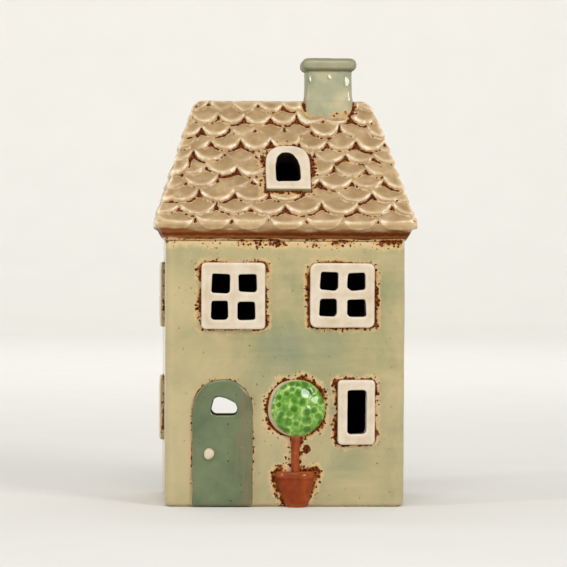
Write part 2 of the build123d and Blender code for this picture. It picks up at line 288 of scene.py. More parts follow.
def lay(tree, kind, links=(), stops=(), **settings):
    """Adds one node with its settings, its links or plain values by input, and its colour stops."""
    node = tree.nodes.new(kind)
    for name, value in settings.items():
        setattr(node, name, value)
    for key, value in dict(links).items():
        if isinstance(value, bpy.types.NodeSocket):
            tree.links.new(value, node.inputs[key])
        else:
            node.inputs[key].default_value = value
    for number, (place, colour) in enumerate(stops):
        elements = node.color_ramp.elements
        stop = elements[number] if number < 2 else elements.new(place)
        stop.position = place
        stop.color = linear(colour)
    return node


def fired(name, body, roughness=0.12, peel=0.06, ior=1.45):
    """A glazed surface: body(tree, place) gives its colour, and painted iron breaks through it as rust."""
    material = bpy.data.materials.new(name)
    material.use_nodes = True
    tree = material.node_tree
    shader = tree.nodes["Principled BSDF"]
    place = lay(tree, "ShaderNodeTexCoord").outputs["Object"]
    colour = body(tree, place)
    # Iron comes through unevenly: in runs of 9 mm, in clumps of 2.6 mm, and as single crumbs of about 1 mm
    patch = lay(tree, "ShaderNodeTexNoise", {"Vector": place, "Scale": 1 / (9 * mm), "Detail": 1.0})
    clump = lay(tree, "ShaderNodeTexNoise", {"Vector": place, "Scale": 1 / (2.6 * mm), "Detail": 2.0})
    grit = lay(tree, "ShaderNodeTexNoise", {"Vector": place, "Scale": 1 / (0.7 * mm), "Detail": 2.0})
    painted = lay(tree, "ShaderNodeAttribute", attribute_name="iron").outputs["Fac"]
    run = lay(
        tree,
        "ShaderNodeMapRange",
        {"Value": patch.outputs["Fac"], "From Min": 0.4, "From Max": 0.6, "To Min": 0.45, "To Max": 1.05},
    ).outputs[0]
    iron = lay(tree, "ShaderNodeMath", {0: painted, 1: run}, operation="MULTIPLY").outputs[0]
    blush = lay(tree, "ShaderNodeAttribute", attribute_name="blush").outputs["Fac"]
    soft = {0: clump.outputs["Fac"], 1: 0.6, 2: iron}
    soft_iron = lay(tree, "ShaderNodeMath", soft, operation="MULTIPLY_ADD").outputs[0]
    flushed = lay(tree, "ShaderNodeMath", {0: soft_iron, 1: blush}).outputs[0]
    frayed = lay(
        tree, "ShaderNodeMath", {0: grit.outputs["Fac"], 1: 0.5, 2: flushed}, operation="MULTIPLY_ADD"
    ).outputs[0]
    halo = lay(
        tree,
        "ShaderNodeMapRange",
        {"Value": frayed, "From Min": 0.68, "From Max": 1.1},
        interpolation_type="SMOOTHSTEP",
    ).outputs[0]
    stain = lay(
        tree,
        "ShaderNodeValToRGB",
        {"Fac": soft_iron},
        stops=((0.6, "#DCC191"), (0.85, "#D0A366"), (1.0, "#A5652A")),
    ).outputs[0]
    warm = lay(tree, "ShaderNodeMix", {0: halo, 6: colour, 7: stain}, data_type="RGBA").outputs[2]
    bent = lay(
        tree,
        "ShaderNodeVectorMath",
        {0: grit.outputs["Color"], 1: (mm, mm, mm), 2: place},
        operation="MULTIPLY_ADD",
    ).outputs[0]
    crumb = lay(
        tree, "ShaderNodeTexVoronoi", {"Vector": bent, "Scale": 1 / (1.5 * mm)}, distance="MANHATTAN"
    ).outputs
    chance = lay(
        tree, "ShaderNodeMath", {0: crumb["Color"], 1: -0.9, 2: 0.4}, operation="MULTIPLY_ADD"
    ).outputs[0]
    lumpy = lay(
        tree, "ShaderNodeMapRange", {"Value": clump.outputs["Fac"], "To Min": 0.9, "To Max": 2.6}
    ).outputs[0]
    heaped = lay(tree, "ShaderNodeMath", {0: iron, 1: lumpy}, operation="MULTIPLY").outputs[0]
    grown = lay(tree, "ShaderNodeMath", {0: heaped, 1: chance}).outputs[0]
    rise = lay(tree, "ShaderNodeMath", {0: grown, 1: crumb["Distance"]}, operation="SUBTRACT").outputs[0]
    crust = lay(
        tree,
        "ShaderNodeMapRange",
        {"Value": rise, "From Min": 0.18, "From Max": 0.25},
        interpolation_type="SMOOTHSTEP",
    ).outputs[0]
    slip = lay(
        tree,
        "ShaderNodeValToRGB",
        {"Fac": grit.outputs["Fac"]},
        stops=((0.34, "#2A0D03"), (0.5, "#5E260B"), (0.66, "#944C19")),
    ).outputs[0]
    final = lay(tree, "ShaderNodeMix", {0: crust, 6: warm, 7: slip}, data_type="RGBA")
    tree.links.new(final.outputs[2], shader.inputs["Base Color"])
    inside = lay(tree, "ShaderNodeAttribute", attribute_name="inside").outputs["Fac"]
    matt = lay(tree, "ShaderNodeAttribute", attribute_name="matt").outputs["Fac"]
    bare = lay(tree, "ShaderNodeMath", {0: inside, 1: matt}, operation="MAXIMUM").outputs[0]
    dry = lay(tree, "ShaderNodeMath", {0: crust, 1: bare}, operation="MAXIMUM").outputs[0]
    dull = lay(tree, "ShaderNodeMapRange", {"Value": dry, "To Min": roughness, "To Max": 0.55})
    tree.links.new(dull.outputs[0], shader.inputs["Roughness"])
    gleam = lay(tree, "ShaderNodeMapRange", {"Value": dry, "To Min": 0.5, "To Max": 0.12})
    tree.links.new(gleam.outputs[0], shader.inputs["Specular IOR Level"])
    skin = lay(
        tree, "ShaderNodeBump", {"Height": clump.outputs["Fac"], "Distance": peel * mm, "Strength": 0.6}
    ).outputs[0]
    relief = lay(
        tree, "ShaderNodeBump", {"Height": crust, "Distance": 0.3 * mm, "Strength": 0.7, "Normal": skin}
    ).outputs[0]
    tree.links.new(relief, shader.inputs["Normal"])
    shader.inputs["IOR"].default_value = ior
    return material


def tinted(tree, colour, field, other, share=1.0):
    """A colour that gives way to another where a field is painted, up to a share of it."""
    painted = lay(tree, "ShaderNodeAttribute", attribute_name=field).outputs["Fac"]
    much = lay(tree, "ShaderNodeMath", {0: painted, 1: share}, operation="MULTIPLY").outputs[0]
    return lay(tree, "ShaderNodeMix", {0: much, 6: colour, 7: linear(other)}, data_type="RGBA").outputs[2]


# The sprigs on the front, as outlines in mm from the middle of the front's foot
upper_left = (-21.85, 87.8)
upper_right = (23.5, 88.2)
narrow = (29.6, 39.6)
door_x = -26.0
tree_x = 4.6
crown_z = 41.2
crown_radius = 12.3
upper_left_outline = rounded(26.8, 27.8, 1.8, upper_left)
upper_right_outline = rounded(27.2, 27.0, 2.4, upper_right)
narrow_outline = rounded(15.7, 27.4, 1.8, narrow)
door_outline = arched(25.2, 40.7, 0.5, door_x)
crown_outline = []
for step in range(40):
    turn = math.tau * step / 40
    crown_outline.append((tree_x + crown_radius * math.cos(turn), crown_z + crown_radius * math.sin(turn)))
pot_outline = moved([(-4.6, 0), (4.6, 0), (8.3, 11.5), (8.3, 15), (-8.3, 15), (-8.3, 11.5)], (tree_x, 0))
trunk_outline = rounded(4.2, 17.0, 0.5, (tree_x, 21.5))
side_upper = (0.0, upper_left[1])
side_narrow = (0.0, narrow[1])

# The holes that were cut by hand, each a loop of points in mm from the middle of its frame
upper_left_panes = (
    [(-9.2, 1.3), (-2.4, 0.9), (-1.4, 1.7), (-1.3, 9.0), (-8.8, 9.3)],
    [(2.2, 1.8), (9.2, 1.5), (9.8, 2.4), (9.6, 9.1), (2.1, 8.9)],
    [(-9.3, -9.2), (-8.4, -10.0), (-3.0, -9.9), (-2.1, -9.0), (-2.2, -2.0), (-9.1, -2.1)],
    [(1.7, -9.4), (2.6, -10.1), (9.2, -9.9), (9.0, -2.4), (1.8, -2.5)],
)
upper_right_panes = (
    [(-9.4, 2.5), (-3.0, 1.9), (-1.8, 3.0), (-1.7, 9.6), (-9.0, 9.7)],
    [(1.9, 3.2), (3.8, 1.8), (9.6, 2.4), (9.5, 9.5), (2.2, 9.2)],
    [(-9.7, -8.6), (-3.2, -8.9), (-2.2, -7.6), (-2.4, -1.4), (-9.3, -1.5)],
    [(2.0, -7.8), (3.0, -8.9), (10.0, -8.8), (9.6, -1.6), (2.1, -1.8)],
)
narrow_panes = (
    [(-3.8, -8.3), (-2.9, -9.2), (3.2, -8.9), (4.2, -8.0), (4.3, 8.1), (3.5, 9.2), (-3.7, 9.1)],
)
door_light = [
    (-5.0, 40.5), (-4.5, 39.2), (-3.3, 38.4), (5.3, 38.5), (6.1, 40.8),
    (5.4, 43.2), (1.2, 45.4), (-1.8, 46.0), (-3.8, 45.0),
]
mouth_outline = arched(57.5, 41.0, floor_top, -0.2)
through = wall_thickness + 3.0

walls_clay, room_cut, holes_cut = bmesh.new(), bmesh.new(), bmesh.new()
wall_round = 3.4
room_plan = rounded(2 * inner_x, 2 * inner_y, 1.5)
wall_rings = []
for inset, height in ((2.0, 0.0), (0.9, 0.5), (0.25, 1.2), (0.0, 2.2), (0.0, wall_top)):
    plan = rounded(2 * (half_x - inset), 2 * (half_y - inset), wall_round)
    wall_rings.append((plan, height))
block(walls_clay, ground, *wall_rings)
block(room_cut, ground, (room_plan, -1.0), (room_plan, wall_top + 1.0))
for face, panes, by in (
    (front_face, upper_left_panes, upper_left),
    (front_face, upper_right_panes, upper_right),
    (front_face, narrow_panes, narrow),
    (front_face, (door_light,), (door_x + 0.35, 0.35)),
    (left_face, upper_right_panes, side_upper),
    (left_face, narrow_panes, side_narrow),
    (right_face, upper_left_panes, side_upper),
    (right_face, narrow_panes, side_narrow),
    (back_face, (mouth_outline,), (0.0, 0.0)),
):
    for pane in panes:
        block(holes_cut, face, (moved(pane, by), -through), (moved(pane, by), 3.0))
walls = knead(walls_clay, (room_cut, holes_cut), 0.6, 5, wobble=0.4)
at = places(walls)
at[:, 2] = np.clip(at[:, 2], 0.0, wall_top)
put(walls, at)

# Where the slip came through: round each sprig, under the eaves, round the mouth and along the foot
x, y, z = at.T
skin_depth = 2.5
iron = np.zeros(len(at))
blush = np.zeros(len(at))
under_sprig_shade = np.zeros(len(at), bool)
for outside, across, sprigs in (
    (
        y < skin_depth - half_y,
        x,
        (
            (upper_left_outline, 3.6, 0.84, 0.5, 0.36),
            (upper_right_outline, 3.6, 0.9, 0.5, 0.34),
            (narrow_outline, 3.6, 0.88, 0.42, 0.38),
            (door_outline, 2.4, 0.2, 0.28, 0.2),
            (crown_outline, 4.4, 0.7, 0.78, 0.52),
            (trunk_outline, 4.4, 0.75, 0.8, 0.8),
            (pot_outline, 4.4, 0.8, 0.85, 0.5),
        ),
    ),
    (
        x < skin_depth - half_x,
        -y,
        (
            (moved(upper_right_outline, (-upper_right[0], 0)), 4.0, 0.88, 0.58, 0.4),
            (moved(narrow_outline, (-narrow[0], 0)), 4.0, 0.88, 0.45, 0.45),
        ),
    ),
    (
        x > half_x - skin_depth,
        y,
        (
            (moved(upper_left_outline, (-upper_left[0], 0)), 4.0, 0.88, 0.58, 0.4),
            (moved(narrow_outline, (-narrow[0], 0)), 4.0, 0.88, 0.45, 0.45),
        ),
    ),
    (y > half_y - skin_depth, -x, ((mouth_outline, 2.6, 0.7, 0.7, 0.7),)),
):
    points = np.stack((across, z), 1)[outside]
    for outline, reach, side, head, foot in sprigs:
        iron[outside] = np.maximum(iron[outside], squeezed(points, outline, reach, side, head, foot))
        gap = away(points, outline)
        # Points under a sprig's outline: they get no iron, and on the front they take painted shade
        under_sprig_shade[outside] |= gap < -1.2
        blush[outside] = np.maximum(blush[outside], 0.2 * side * np.clip(1 - np.maximum(gap, 0) / 4.0, 0, 1))
iron[under_sprig_shade] = 0.0
blush = np.maximum(blush, 0.42 * np.clip(1.15 - (wall_top - z) / 3.4, 0, 1))
eave_iron = 0.47 + 0.2 * np.clip((x + 22) / 16, 0, 1)
iron = np.maximum(iron, eave_iron * np.clip(1 - (wall_top - z) / 5.5, 0, 1))
iron = np.maximum(iron, 0.45 * np.clip(1 - z / 1.6, 0, 1))
drip = np.clip(2.3 - np.hypot(x - 9.1, z - 23.9), 0, 1)
iron = np.maximum(iron, 1.9 * drip * (y < skin_depth - half_y))
# Painted shade: the room side of the walls and, on the front, the reveals of the holes under the sprigs are
# painted dark
inside = (np.abs(x) < inner_x + 1.2) & (np.abs(y) < inner_y + 1.2) | under_sprig_shade & (y < 0)
edge = np.clip(-hollows(walls, 10) / 0.25, 0, 1)
# The glaze ran thicker, so greener, over the middle of the front, at its right and low beside the tree
pool = np.exp(-(((x - 6) / 34) ** 2) - ((z - 66) / 17) ** 2)
pool = np.maximum(pool, 0.75 * np.exp(-(((x - 26) / 18) ** 2) - ((z - 17) / 13) ** 2))
pool = np.maximum(pool, 0.7 * np.exp(-(((x - 2) / 9) ** 2) - ((z - 92) / 20) ** 2))
pool = np.maximum(pool, 0.55 * np.clip((x - 28) / 12, 0, 1))
paint(walls, iron=iron, blush=blush * ~under_sprig_shade, inside=inside, edge=edge, pool=pool)

# The dark colour painted over the room, the roof space and the flue: painted shade
painted_room_shade = "#1F130B"


def celadon(tree, place):
    """Ochre celadon: clouded, greener and brushed where it pools, pale at edges, darkened towards the foot as
    painted shade, and painted shade indoors.
    """
    cloud = lay(
        tree,
        "ShaderNodeTexNoise",
        {"Vector": place, "Scale": 1 / (24 * mm), "Detail": 4.0, "Roughness": 0.6, "Distortion": 0.6},
    ).outputs["Fac"]
    pool = lay(tree, "ShaderNodeAttribute", attribute_name="pool").outputs["Fac"]
    thick = lay(tree, "ShaderNodeMath", {0: pool, 1: -0.3, 2: cloud}, operation="MULTIPLY_ADD").outputs[0]
    ground_colour = lay(
        tree,
        "ShaderNodeValToRGB",
        {"Fac": thick},
        stops=((0.08, "#959A79"), (0.24, "#A8A37A"), (0.42, "#BCAF83"), (0.6, "#C8B88B")),
    ).outputs[0]
    flat_place = lay(tree, "ShaderNodeMapping", {"Vector": place, "Scale": (30, 30, 380)}).outputs[0]
    stroke = lay(
        tree, "ShaderNodeTexNoise", {"Vector": flat_place, "Scale": 1.0, "Detail": 3.0}
    ).outputs["Fac"]
    brushed = lay(
        tree,
        "ShaderNodeMapRange",
        {"Value": stroke, "From Min": 0.35, "From Max": 0.65, "To Min": 0.94, "To Max": 1.04},
    ).outputs[0]
    tint = lay(
        tree,
        "ShaderNodeMix",
        {0: pool, 6: ground_colour, 7: brushed},
        data_type="RGBA",
        blend_type="MULTIPLY",
    ).outputs[2]
    # Painted shade: the walls darken towards the foot
    height = lay(tree, "ShaderNodeSeparateXYZ", {0: place}).outputs[2]
    painted_low_shade = lay(
        tree, "ShaderNodeMapRange", {"Value": height, "From Max": 85 * mm, "To Min": 0.92, "To Max": 1.0}
    ).outputs[0]
    tint = lay(
        tree, "ShaderNodeMix", {0: 1.0, 6: tint, 7: painted_low_shade}, data_type="RGBA", blend_type="MULTIPLY"
    ).outputs[2]
    fleck = lay(tree, "ShaderNodeTexNoise", {"Vector": place, "Scale": 1 / (1.6 * mm), "Detail": 1.0})
    speck = lay(
        tree,
        "ShaderNodeMapRange",
        {"Value": fleck.outputs["Fac"], "From Min": 0.735, "From Max": 0.8, "To Max": 0.7},
    ).outputs[0]
    specked = lay(
        tree, "ShaderNodeMix", {0: speck, 6: tint, 7: linear("#6E5A30")}, data_type="RGBA"
    ).outputs[2]
    worn = tinted(tree, specked, "edge", "#DBC29A", 0.5)
    return tinted(tree, worn, "inside", painted_room_shade)


# Celadon stoneware glaze: glassy, faintly rippled, so it shows soft lamps but no sharp picture of the room
celadon_glaze = fired("celadon_stoneware_glaze", celadon)
diagonal = 1.0 / math.sqrt(2)
for name, out_x, out_y in (
    ("front_wall", 0, -1),
    ("back_wall", 0, 1),
    ("left_wall", -1, 0),
    ("right_wall", 1, 0),
):
    cuts = []
    for end in (-1, 1):
        end_x, end_y = end * abs(out_y), end * abs(out_x)
        mitre = ((out_x + end_x) * half_x, (out_y + end_y) * half_y, 0)
        cuts.append((mitre, ((end_x - out_x) * diagonal, (end_y - out_y) * diagonal, 0)))
    cuts.append(((0, 0, 0), (-out_x, -out_y, 0)))
    set_in(name, sliced(walls, *cuts), celadon_glaze, "wall_glaze", "house", name)
bpy.data.meshes.remove(walls)

# Base slab
# A rolled stoneware slab set inside the foot of the walls, which the tealight stands on.
# It is luted in with slip and is painted the room's dark colour all over, as painted shade.


def box_of(node):
    """The low and the high corner of a node's solid, in mm."""
    return [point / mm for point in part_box(node)]


base_low, base_high = box_of("base_slab")
base_plan = rounded(base_high.x - base_low.x, base_high.y - base_low.y, 1.2)
base_clay = bmesh.new()
block(base_clay, ground, (base_plan, base_low.z), (base_plan, base_high.z))
base = knead(base_clay, (), 1.0, 2, wobble=0.25)
at = places(base)
at[:, 2] = np.clip(at[:, 2], base_low.z, base_high.z)
put(base, at)
# Painted shade: the whole slab takes the room's dark colour
paint(base, iron=np.full(len(at), 0.1), inside=np.ones(len(at)))
set_in("base_slab", base, celadon_glaze, "wall_glaze", "house", "base_slab")

# Window frames
# Flat sprigs of white clay pressed on to the walls, with the panes cut through by knife while leather-hard.
# Cream glaze pools on their faces and breaks to warm brown where they meet the wall.
frame_height = 2.6
side_frame_height = 1.9
frame_seat = 0.7


def clouded(tree, place, span, stops, roughness=0.5):
    """A ground of colour stops, clouded by a soft noise of a span in mm."""
    links = {"Vector": place, "Scale": 1 / (span * mm), "Detail": 3.0, "Roughness": roughness}
    cloud = lay(tree, "ShaderNodeTexNoise", links).outputs["Fac"]
    return lay(tree, "ShaderNodeValToRGB", {"Fac": cloud}, stops=stops).outputs[0]


def cream(tree, place):
    """Cream: warm and faintly pink on the face, whiter at the rounded edges, celadon run down the flanks,
    painted shade on cut sides.
    """
    ground_colour = clouded(tree, place, 7, ((0.32, "#D3BE9F"), (0.5, "#DDCCB3"), (0.68, "#E5D7C2")), 0.6)
    pale = tinted(tree, ground_colour, "edge", "#F1E8D8", 0.6)
    run = tinted(tree, pale, "flank", "#9C8F6A")
    # Painted shade on the cut sides of the holes
    return tinted(tree, run, "inside", "#2A180E")


# Cream tin glaze: opaque and wet-looking, with a softer ripple than the walls
cream_glaze = fired("cream_tin_glaze", cream, roughness=0.1, peel=0.04)


def sprig(face, outline, inset, height, holes, grain=0.42, passes=9, iron=0.85, shade_cut_sides=False):
    """A pressed sprig on a face with holes through it, painted with iron along the foot of its sides, and
    with painted shade on the cut sides of its holes when asked.
    """
    clay, knife = bmesh.new(), bmesh.new()
    block(clay, face, (outline, -frame_seat), (outline, height - 0.6), (inset, height))
    for hole in holes:
        block(knife, face, (hole, -frame_seat - 2.0), (hole, height + 2.0))
    mesh = knead(clay, (knife,) if holes else (), grain, passes, wobble=0.25, span=9.0)
    if not holes:
        knife.free()
    into = np.array(face.inverted())
    on_face = places(mesh) * mm @ into[:3, :3].T + into[:3, 3]
    height_out = on_face[:, 2]
    level = outward(mesh) @ np.array(face.to_3x3().col[2].normalized())
    outer = np.clip((away(on_face[:, :2], outline) + 2.0) / 0.8, 0, 1)
    upright = np.clip((0.62 - level) / 0.3, 0, 1)
    # Painted shade on the cut sides of the holes, when asked
    shaded_cut_side = (1 - outer) * upright * shade_cut_sides
    paint(
        mesh,
        iron=iron * np.clip(1 - height_out / 1.6, 0, 1) * (1 - shaded_cut_side),
        edge=np.clip(-hollows(mesh, 8) / 0.16, 0, 1),
        flank=outer * upright,
        inside=shaded_cut_side,
    )
    return mesh


for name, face, centre, size, radius, panes in (
    ("upper_left_window_frame", front_face, upper_left, (26.8, 27.8), 1.8, upper_left_panes),
    ("upper_right_window_frame", front_face, upper_right, (27.0, 27.0), 2.6, upper_right_panes),
    ("lower_window_frame", front_face, narrow, (15.7, 27.2), 1.8, narrow_panes),
    ("left_upper_window_frame", left_face, side_upper, (26.8, 27.4), 2.2, upper_right_panes),
    ("left_lower_window_frame", left_face, side_narrow, (15.7, 27.2), 1.8, narrow_panes),
    ("right_upper_window_frame", right_face, side_upper, (26.8, 27.6), 2.0, upper_left_panes),
    ("right_lower_window_frame", right_face, side_narrow, (15.7, 27.2), 1.8, narrow_panes),
):
    outline = rounded(*size, radius, centre)
    inset = rounded(size[0] - 1.0, size[1] - 1.0, radius, centre)
    rise = frame_height if face is front_face else side_frame_height
    mesh = sprig(face, outline, inset, rise, [moved(pane, centre) for pane in panes])
    set_in(name, mesh, cream_glaze, "frame_glaze", "house", name)

# Door
# A thin slab with a round head pressed on to the wall, and a lopsided light cut through it.
# Sage glaze, dragged downwards with a brush, thins to the red clay on the right.
door_height = 1.9


def sage(tree, place):
    """Sage: even grey-green on the left, streaked down with thin brown on the right, a few dark pits, painted
    shade on the cut sides of its light.
    """
    ground_colour = clouded(tree, place, 11, ((0.3, "#5F6C4F"), (0.5, "#6A7757"), (0.7, "#76805E")))
    tall_place = lay(tree, "ShaderNodeMapping", {"Vector": place, "Scale": (480, 480, 40)}).outputs[0]
    streak = lay(
        tree, "ShaderNodeTexNoise", {"Vector": tall_place, "Scale": 1.0, "Detail": 4.0, "Distortion": 1.6}
    ).outputs["Fac"]
    thin = lay(tree, "ShaderNodeAttribute", attribute_name="thin").outputs["Fac"]
    dragged = lay(tree, "ShaderNodeMath", {0: thin, 1: 0.3, 2: streak}, operation="MULTIPLY_ADD").outputs[0]
    bare = lay(
        tree, "ShaderNodeMapRange", {"Value": dragged, "From Min": 0.68, "From Max": 1.0, "To Max": 0.8}
    ).outputs[0]
    streaked = lay(
        tree, "ShaderNodeMix", {0: bare, 6: ground_colour, 7: linear("#8C6E50")}, data_type="RGBA"
    )
    fleck = lay(
        tree, "ShaderNodeTexNoise", {"Vector": place, "Scale": 1 / (1.1 * mm), "Detail": 0.0}
    ).outputs["Fac"]
    pit = lay(tree, "ShaderNodeMapRange", {"Value": fleck, "From Min": 0.8, "From Max": 0.84}).outputs[0]
    pitted = lay(
        tree, "ShaderNodeMix", {0: pit, 6: streaked.outputs[2], 7: linear("#2B2A18")}, data_type="RGBA"
    ).outputs[2]
    # Painted shade on the cut sides of the light
    return tinted(tree, pitted, "inside", painted_room_shade)


# Sage stoneware glaze: a little drier than the celadon
sage_glaze = fired("sage_stoneware_glaze", sage, roughness=0.2, peel=0.05)
door_inset = arched(24.2, 40.7, 1.0, door_x)
door_hole = moved(door_light, (door_x, 0))
# The cut sides of the door's light take painted shade
door = sprig(front_face, door_outline, door_inset, door_height, [door_hole], grain=0.5, iron=1.3, shade_cut_sides=True)
at = places(door)
at[:, 2] = np.maximum(at[:, 2], 0.4)
put(door, at)
paint(door, thin=np.clip((at[:, 0] - door_x - 1.0) / 8.0, 0, 1))
set_in("door_panel", door, sage_glaze, "door_glaze", "house", "door_panel")

# Door knob
# A pellet of white clay pressed on to the door, left with a thumb's slight flat.
knob_low, knob_high = box_of("door_knob")
knob_at = ((knob_low.x + knob_high.x) / 2, (knob_low.z + knob_high.z) / 2)
knob_radius = (knob_high.x - knob_low.x) / 2
knob_rise = -half_y - knob_low.y
knob_rings = []
for share, height in (
    (0.9, door_height - 0.5), (1.0, 2.3), (0.98, 2.9), (0.85, 3.5), (0.6, 3.9), (0.25, 4.1)
):
    ring = []
    for step in range(28):
        turn = math.tau * step / 28
        pinch = 1 - 0.06 * math.cos(2 * turn + 0.6) + 0.03 * math.cos(3 * turn)
        radius = knob_radius * share * pinch
        ring.append((radius * math.cos(turn), radius * math.sin(turn)))
    knob_rings.append((moved(ring, knob_at), min(height, knob_rise)))
knob_clay = bmesh.new()
block(knob_clay, front_face, *knob_rings)
knob = knead(knob_clay, (), 0.22, 6)
at = places(knob)
paint(knob, iron=0.7 * np.clip(1 - (-half_y - at[:, 1] - door_height) / 0.8, 0, 1))
set_in("door_knob", knob, cream_glaze, "frame_glaze", "house", "door_knob")

# Potted tree
# A domed pad of clay for the clipped crown, beaten with a round tool, on a rolled trunk in a turned half-pot.
# Copper-green glaze gathers in the dimples; trunk and pot are left in a red-brown slip glaze.
crown_rings = []
for share, height in (
    (0.97, -0.7), (1.0, 0.5), (0.985, 1.6), (0.93, 2.7), (0.84, 3.5), (0.7, 4.2), (0.5, 4.65), (0.25, 4.9)
):
    ring = []
    for step in range(56):
        turn = math.tau * step / 56
        lobe = 1 + 0.012 * math.cos(5 * turn + 1.0) + 0.01 * math.cos(3 * turn)
        radius = (crown_radius - 0.25) * share * lobe
        ring.append((tree_x + radius * math.cos(turn), crown_z + radius * math.sin(turn)))
    crown_rings.append((ring, height))
crown_clay = bmesh.new()
block(crown_clay, front_face, *crown_rings)
crown = knead(crown_clay, (), 0.4, 4)
at = places(crown)
tool = np.random.default_rng(7)
dimples = []
while len(dimples) < 34:
    spot = tool.uniform(-crown_radius, crown_radius, 2)
    if np.hypot(*spot) < crown_radius - 0.8 and all(np.hypot(*(spot - d[0])) > 2.4 for d in dimples):
        dimples.append((spot, tool.uniform(1.3, 2.3)))
dent = np.zeros(len(at))
ridge = np.zeros(len(at))
for spot, wide in dimples:
    far = np.hypot(at[:, 0] - tree_x - spot[0], at[:, 2] - crown_z - spot[1]) / wide
    dent = np.maximum(dent, np.clip(1 - far**2, 0, 1))
    ridge = np.maximum(ridge, np.clip(1 - np.abs(far - 1.05) / 0.3, 0, 1))
height_out = -half_y - at[:, 1]
facing = np.clip((height_out - 0.8) / 1.2, 0, 1)
at -= outward(crown) * (0.24 * dent * facing)[:, None]
glints = ((3.4, 6.2, 2.8, 2.5), (7.4, 4.0, 1.7, 1.7), (4.9, 0.8, 1.4, 1.4))
dabbed(at, facing, (0.28, 0.265), *((tree_x + dx, crown_z + dz, *size) for dx, dz, *size in glints))
put(crown, at)
rim = np.hypot(at[:, 0] - tree_x, at[:, 2] - crown_z) / crown_radius
leftward = (tree_x - at[:, 0]) / crown_radius
bare_rim = np.clip((rim - 0.88 + 0.07 * np.clip(leftward, 0, 1)) / 0.07, 0, 1)
paint(
    crown,
    iron=0.9 * np.clip(1 - height_out / 1.1, 0, 1),
    dent=dent,
    ridge=ridge * (1 - dent),
    edge=bare_rim * np.clip(1 - (height_out - 1.2 - 1.7 * leftward) / 1.4, 0, 1),
)


def copper_green(tree, place):
    """Copper green: deep in the dimples, yellow-green on the ridges between, pale at the thin rim."""
    dent = lay(tree, "ShaderNodeAttribute", attribute_name="dent").outputs["Fac"]
    cloud = lay(
        tree, "ShaderNodeTexNoise", {"Vector": place, "Scale": 1 / (2.8 * mm), "Detail": 3.0}
    ).outputs["Fac"]
    ridge = lay(tree, "ShaderNodeAttribute", attribute_name="ridge").outputs["Fac"]
    raised = lay(
        tree, "ShaderNodeMath", {0: ridge, 1: -0.16, 2: cloud}, operation="MULTIPLY_ADD"
    ).outputs[0]
    depth = lay(tree, "ShaderNodeMath", {0: dent, 1: 0.24, 2: raised}, operation="MULTIPLY_ADD").outputs[0]
    ground_colour = lay(
        tree,
        "ShaderNodeValToRGB",
        {"Fac": depth},
        stops=((0.3, "#AECB75"), (0.42, "#82AE4C"), (0.54, "#659C39"), (0.76, "#467420")),
    ).outputs[0]
    return tinted(tree, ground_colour, "edge", "#CDB999")


# Copper-green glaze: very wet and glassy, so each dimple catches its own bit of lamp
leaf_glaze = fired("copper_green_glaze", copper_green, roughness=0.05, peel=0.02)
set_in("topiary_crown", crown, leaf_glaze, "leaf_glaze", "house", "topiary_crown")


def red_slip(tree, place):
    """Red slip: brick brown with darker drags down it and paler worn lips."""
    ground_colour = clouded(tree, place, 5, ((0.3, "#7A2805"), (0.5, "#8E370A"), (0.7, "#A54A15")))
    return tinted(tree, ground_colour, "edge", "#C27442", 0.7)


# Red slip glaze: satin, with a short bright line along each turned lip
slip_glaze = fired("red_slip_glaze", red_slip, roughness=0.08, peel=0.04, ior=1.33)


def half_turned(profile, centre, steps=18):
    """A half-round relief against the front: rings of (height, half width, depth, shift) up its axis."""
    clay = bmesh.new()
    rings = []
    for height, half_width, depth, shift in profile:
        ring = []
        for step in range(steps + 1):
            turn = math.pi * step / steps
            ring.append((centre + shift - half_width * math.cos(turn), -half_y - depth * math.sin(turn)))
        ring.append((centre + shift + half_width, frame_seat - half_y))
        ring.append((centre + shift - half_width, frame_seat - half_y))
        rings.append((ring, height))
    block(clay, ground, *rings)
    return clay


trunk_profile = (
    (13.5, 2.0, 2.7, -0.1), (20.0, 1.8, 2.8, -0.3), (26.0, 1.85, 2.9, -0.2), (29.6, 2.1, 2.9, -0.1)
)
pot_profile = (
    (0.0, 4.3, 3.4, 0.3), (0.6, 4.7, 3.8, 0.3), (4.0, 5.9, 4.1, 0.2), (8.0, 7.1, 4.3, 0.0),
    (11.2, 7.7, 4.4, -0.1), (11.9, 7.8, 4.4, -0.2), (12.2, 8.2, 4.8, -0.2), (12.8, 8.35, 5.0, -0.3),
    (13.4, 8.35, 5.0, -0.3), (14.5, 8.0, 4.6, -0.3), (15.0, 7.3, 4.0, -0.3),
)
trunk = knead(half_turned(trunk_profile, tree_x), (), 0.35, 4, wobble=0.3, span=5.0)
pot = knead(half_turned(pot_profile, tree_x), (), 0.35, 5, wobble=0.25, span=7.0)
for name, mesh in (("topiary_trunk", trunk), ("plant_pot", pot)):
    at = places(mesh)
    at[:, 2] = np.maximum(at[:, 2], 0.0)
    put(mesh, at)
    paint(
        mesh,
        iron=0.9 * np.clip(1 - (-half_y - at[:, 1]) / 0.9, 0, 1),
        edge=np.clip(-hollows(mesh, 8) / 0.2, 0, 1),
    )
    set_in(name, mesh, slip_glaze, "pot_glaze", "house", name)

# Roof
# Four sloping slabs and a cap, luted along the hips, with ten courses of fish-scale tiles pressed into them.
# A sandy glaze lies on the tiles and thins to rust in every groove between them.
lip_bottom = wall_top + 4.6
lip_top = lip_bottom + 3.0
roof_rise = 52.0
roof_top = lip_top + roof_rise
lip_x, lip_y = half_x + 2.6, half_y + 2.6
top_x, top_y = 35.5, 9.0
tile_pitch = 5.5
tile_rows = 10
cap_bottom = roof_top - 5.42
tile_hang = 3.2
roof_grain = 0.42
lip_swell = 2.2


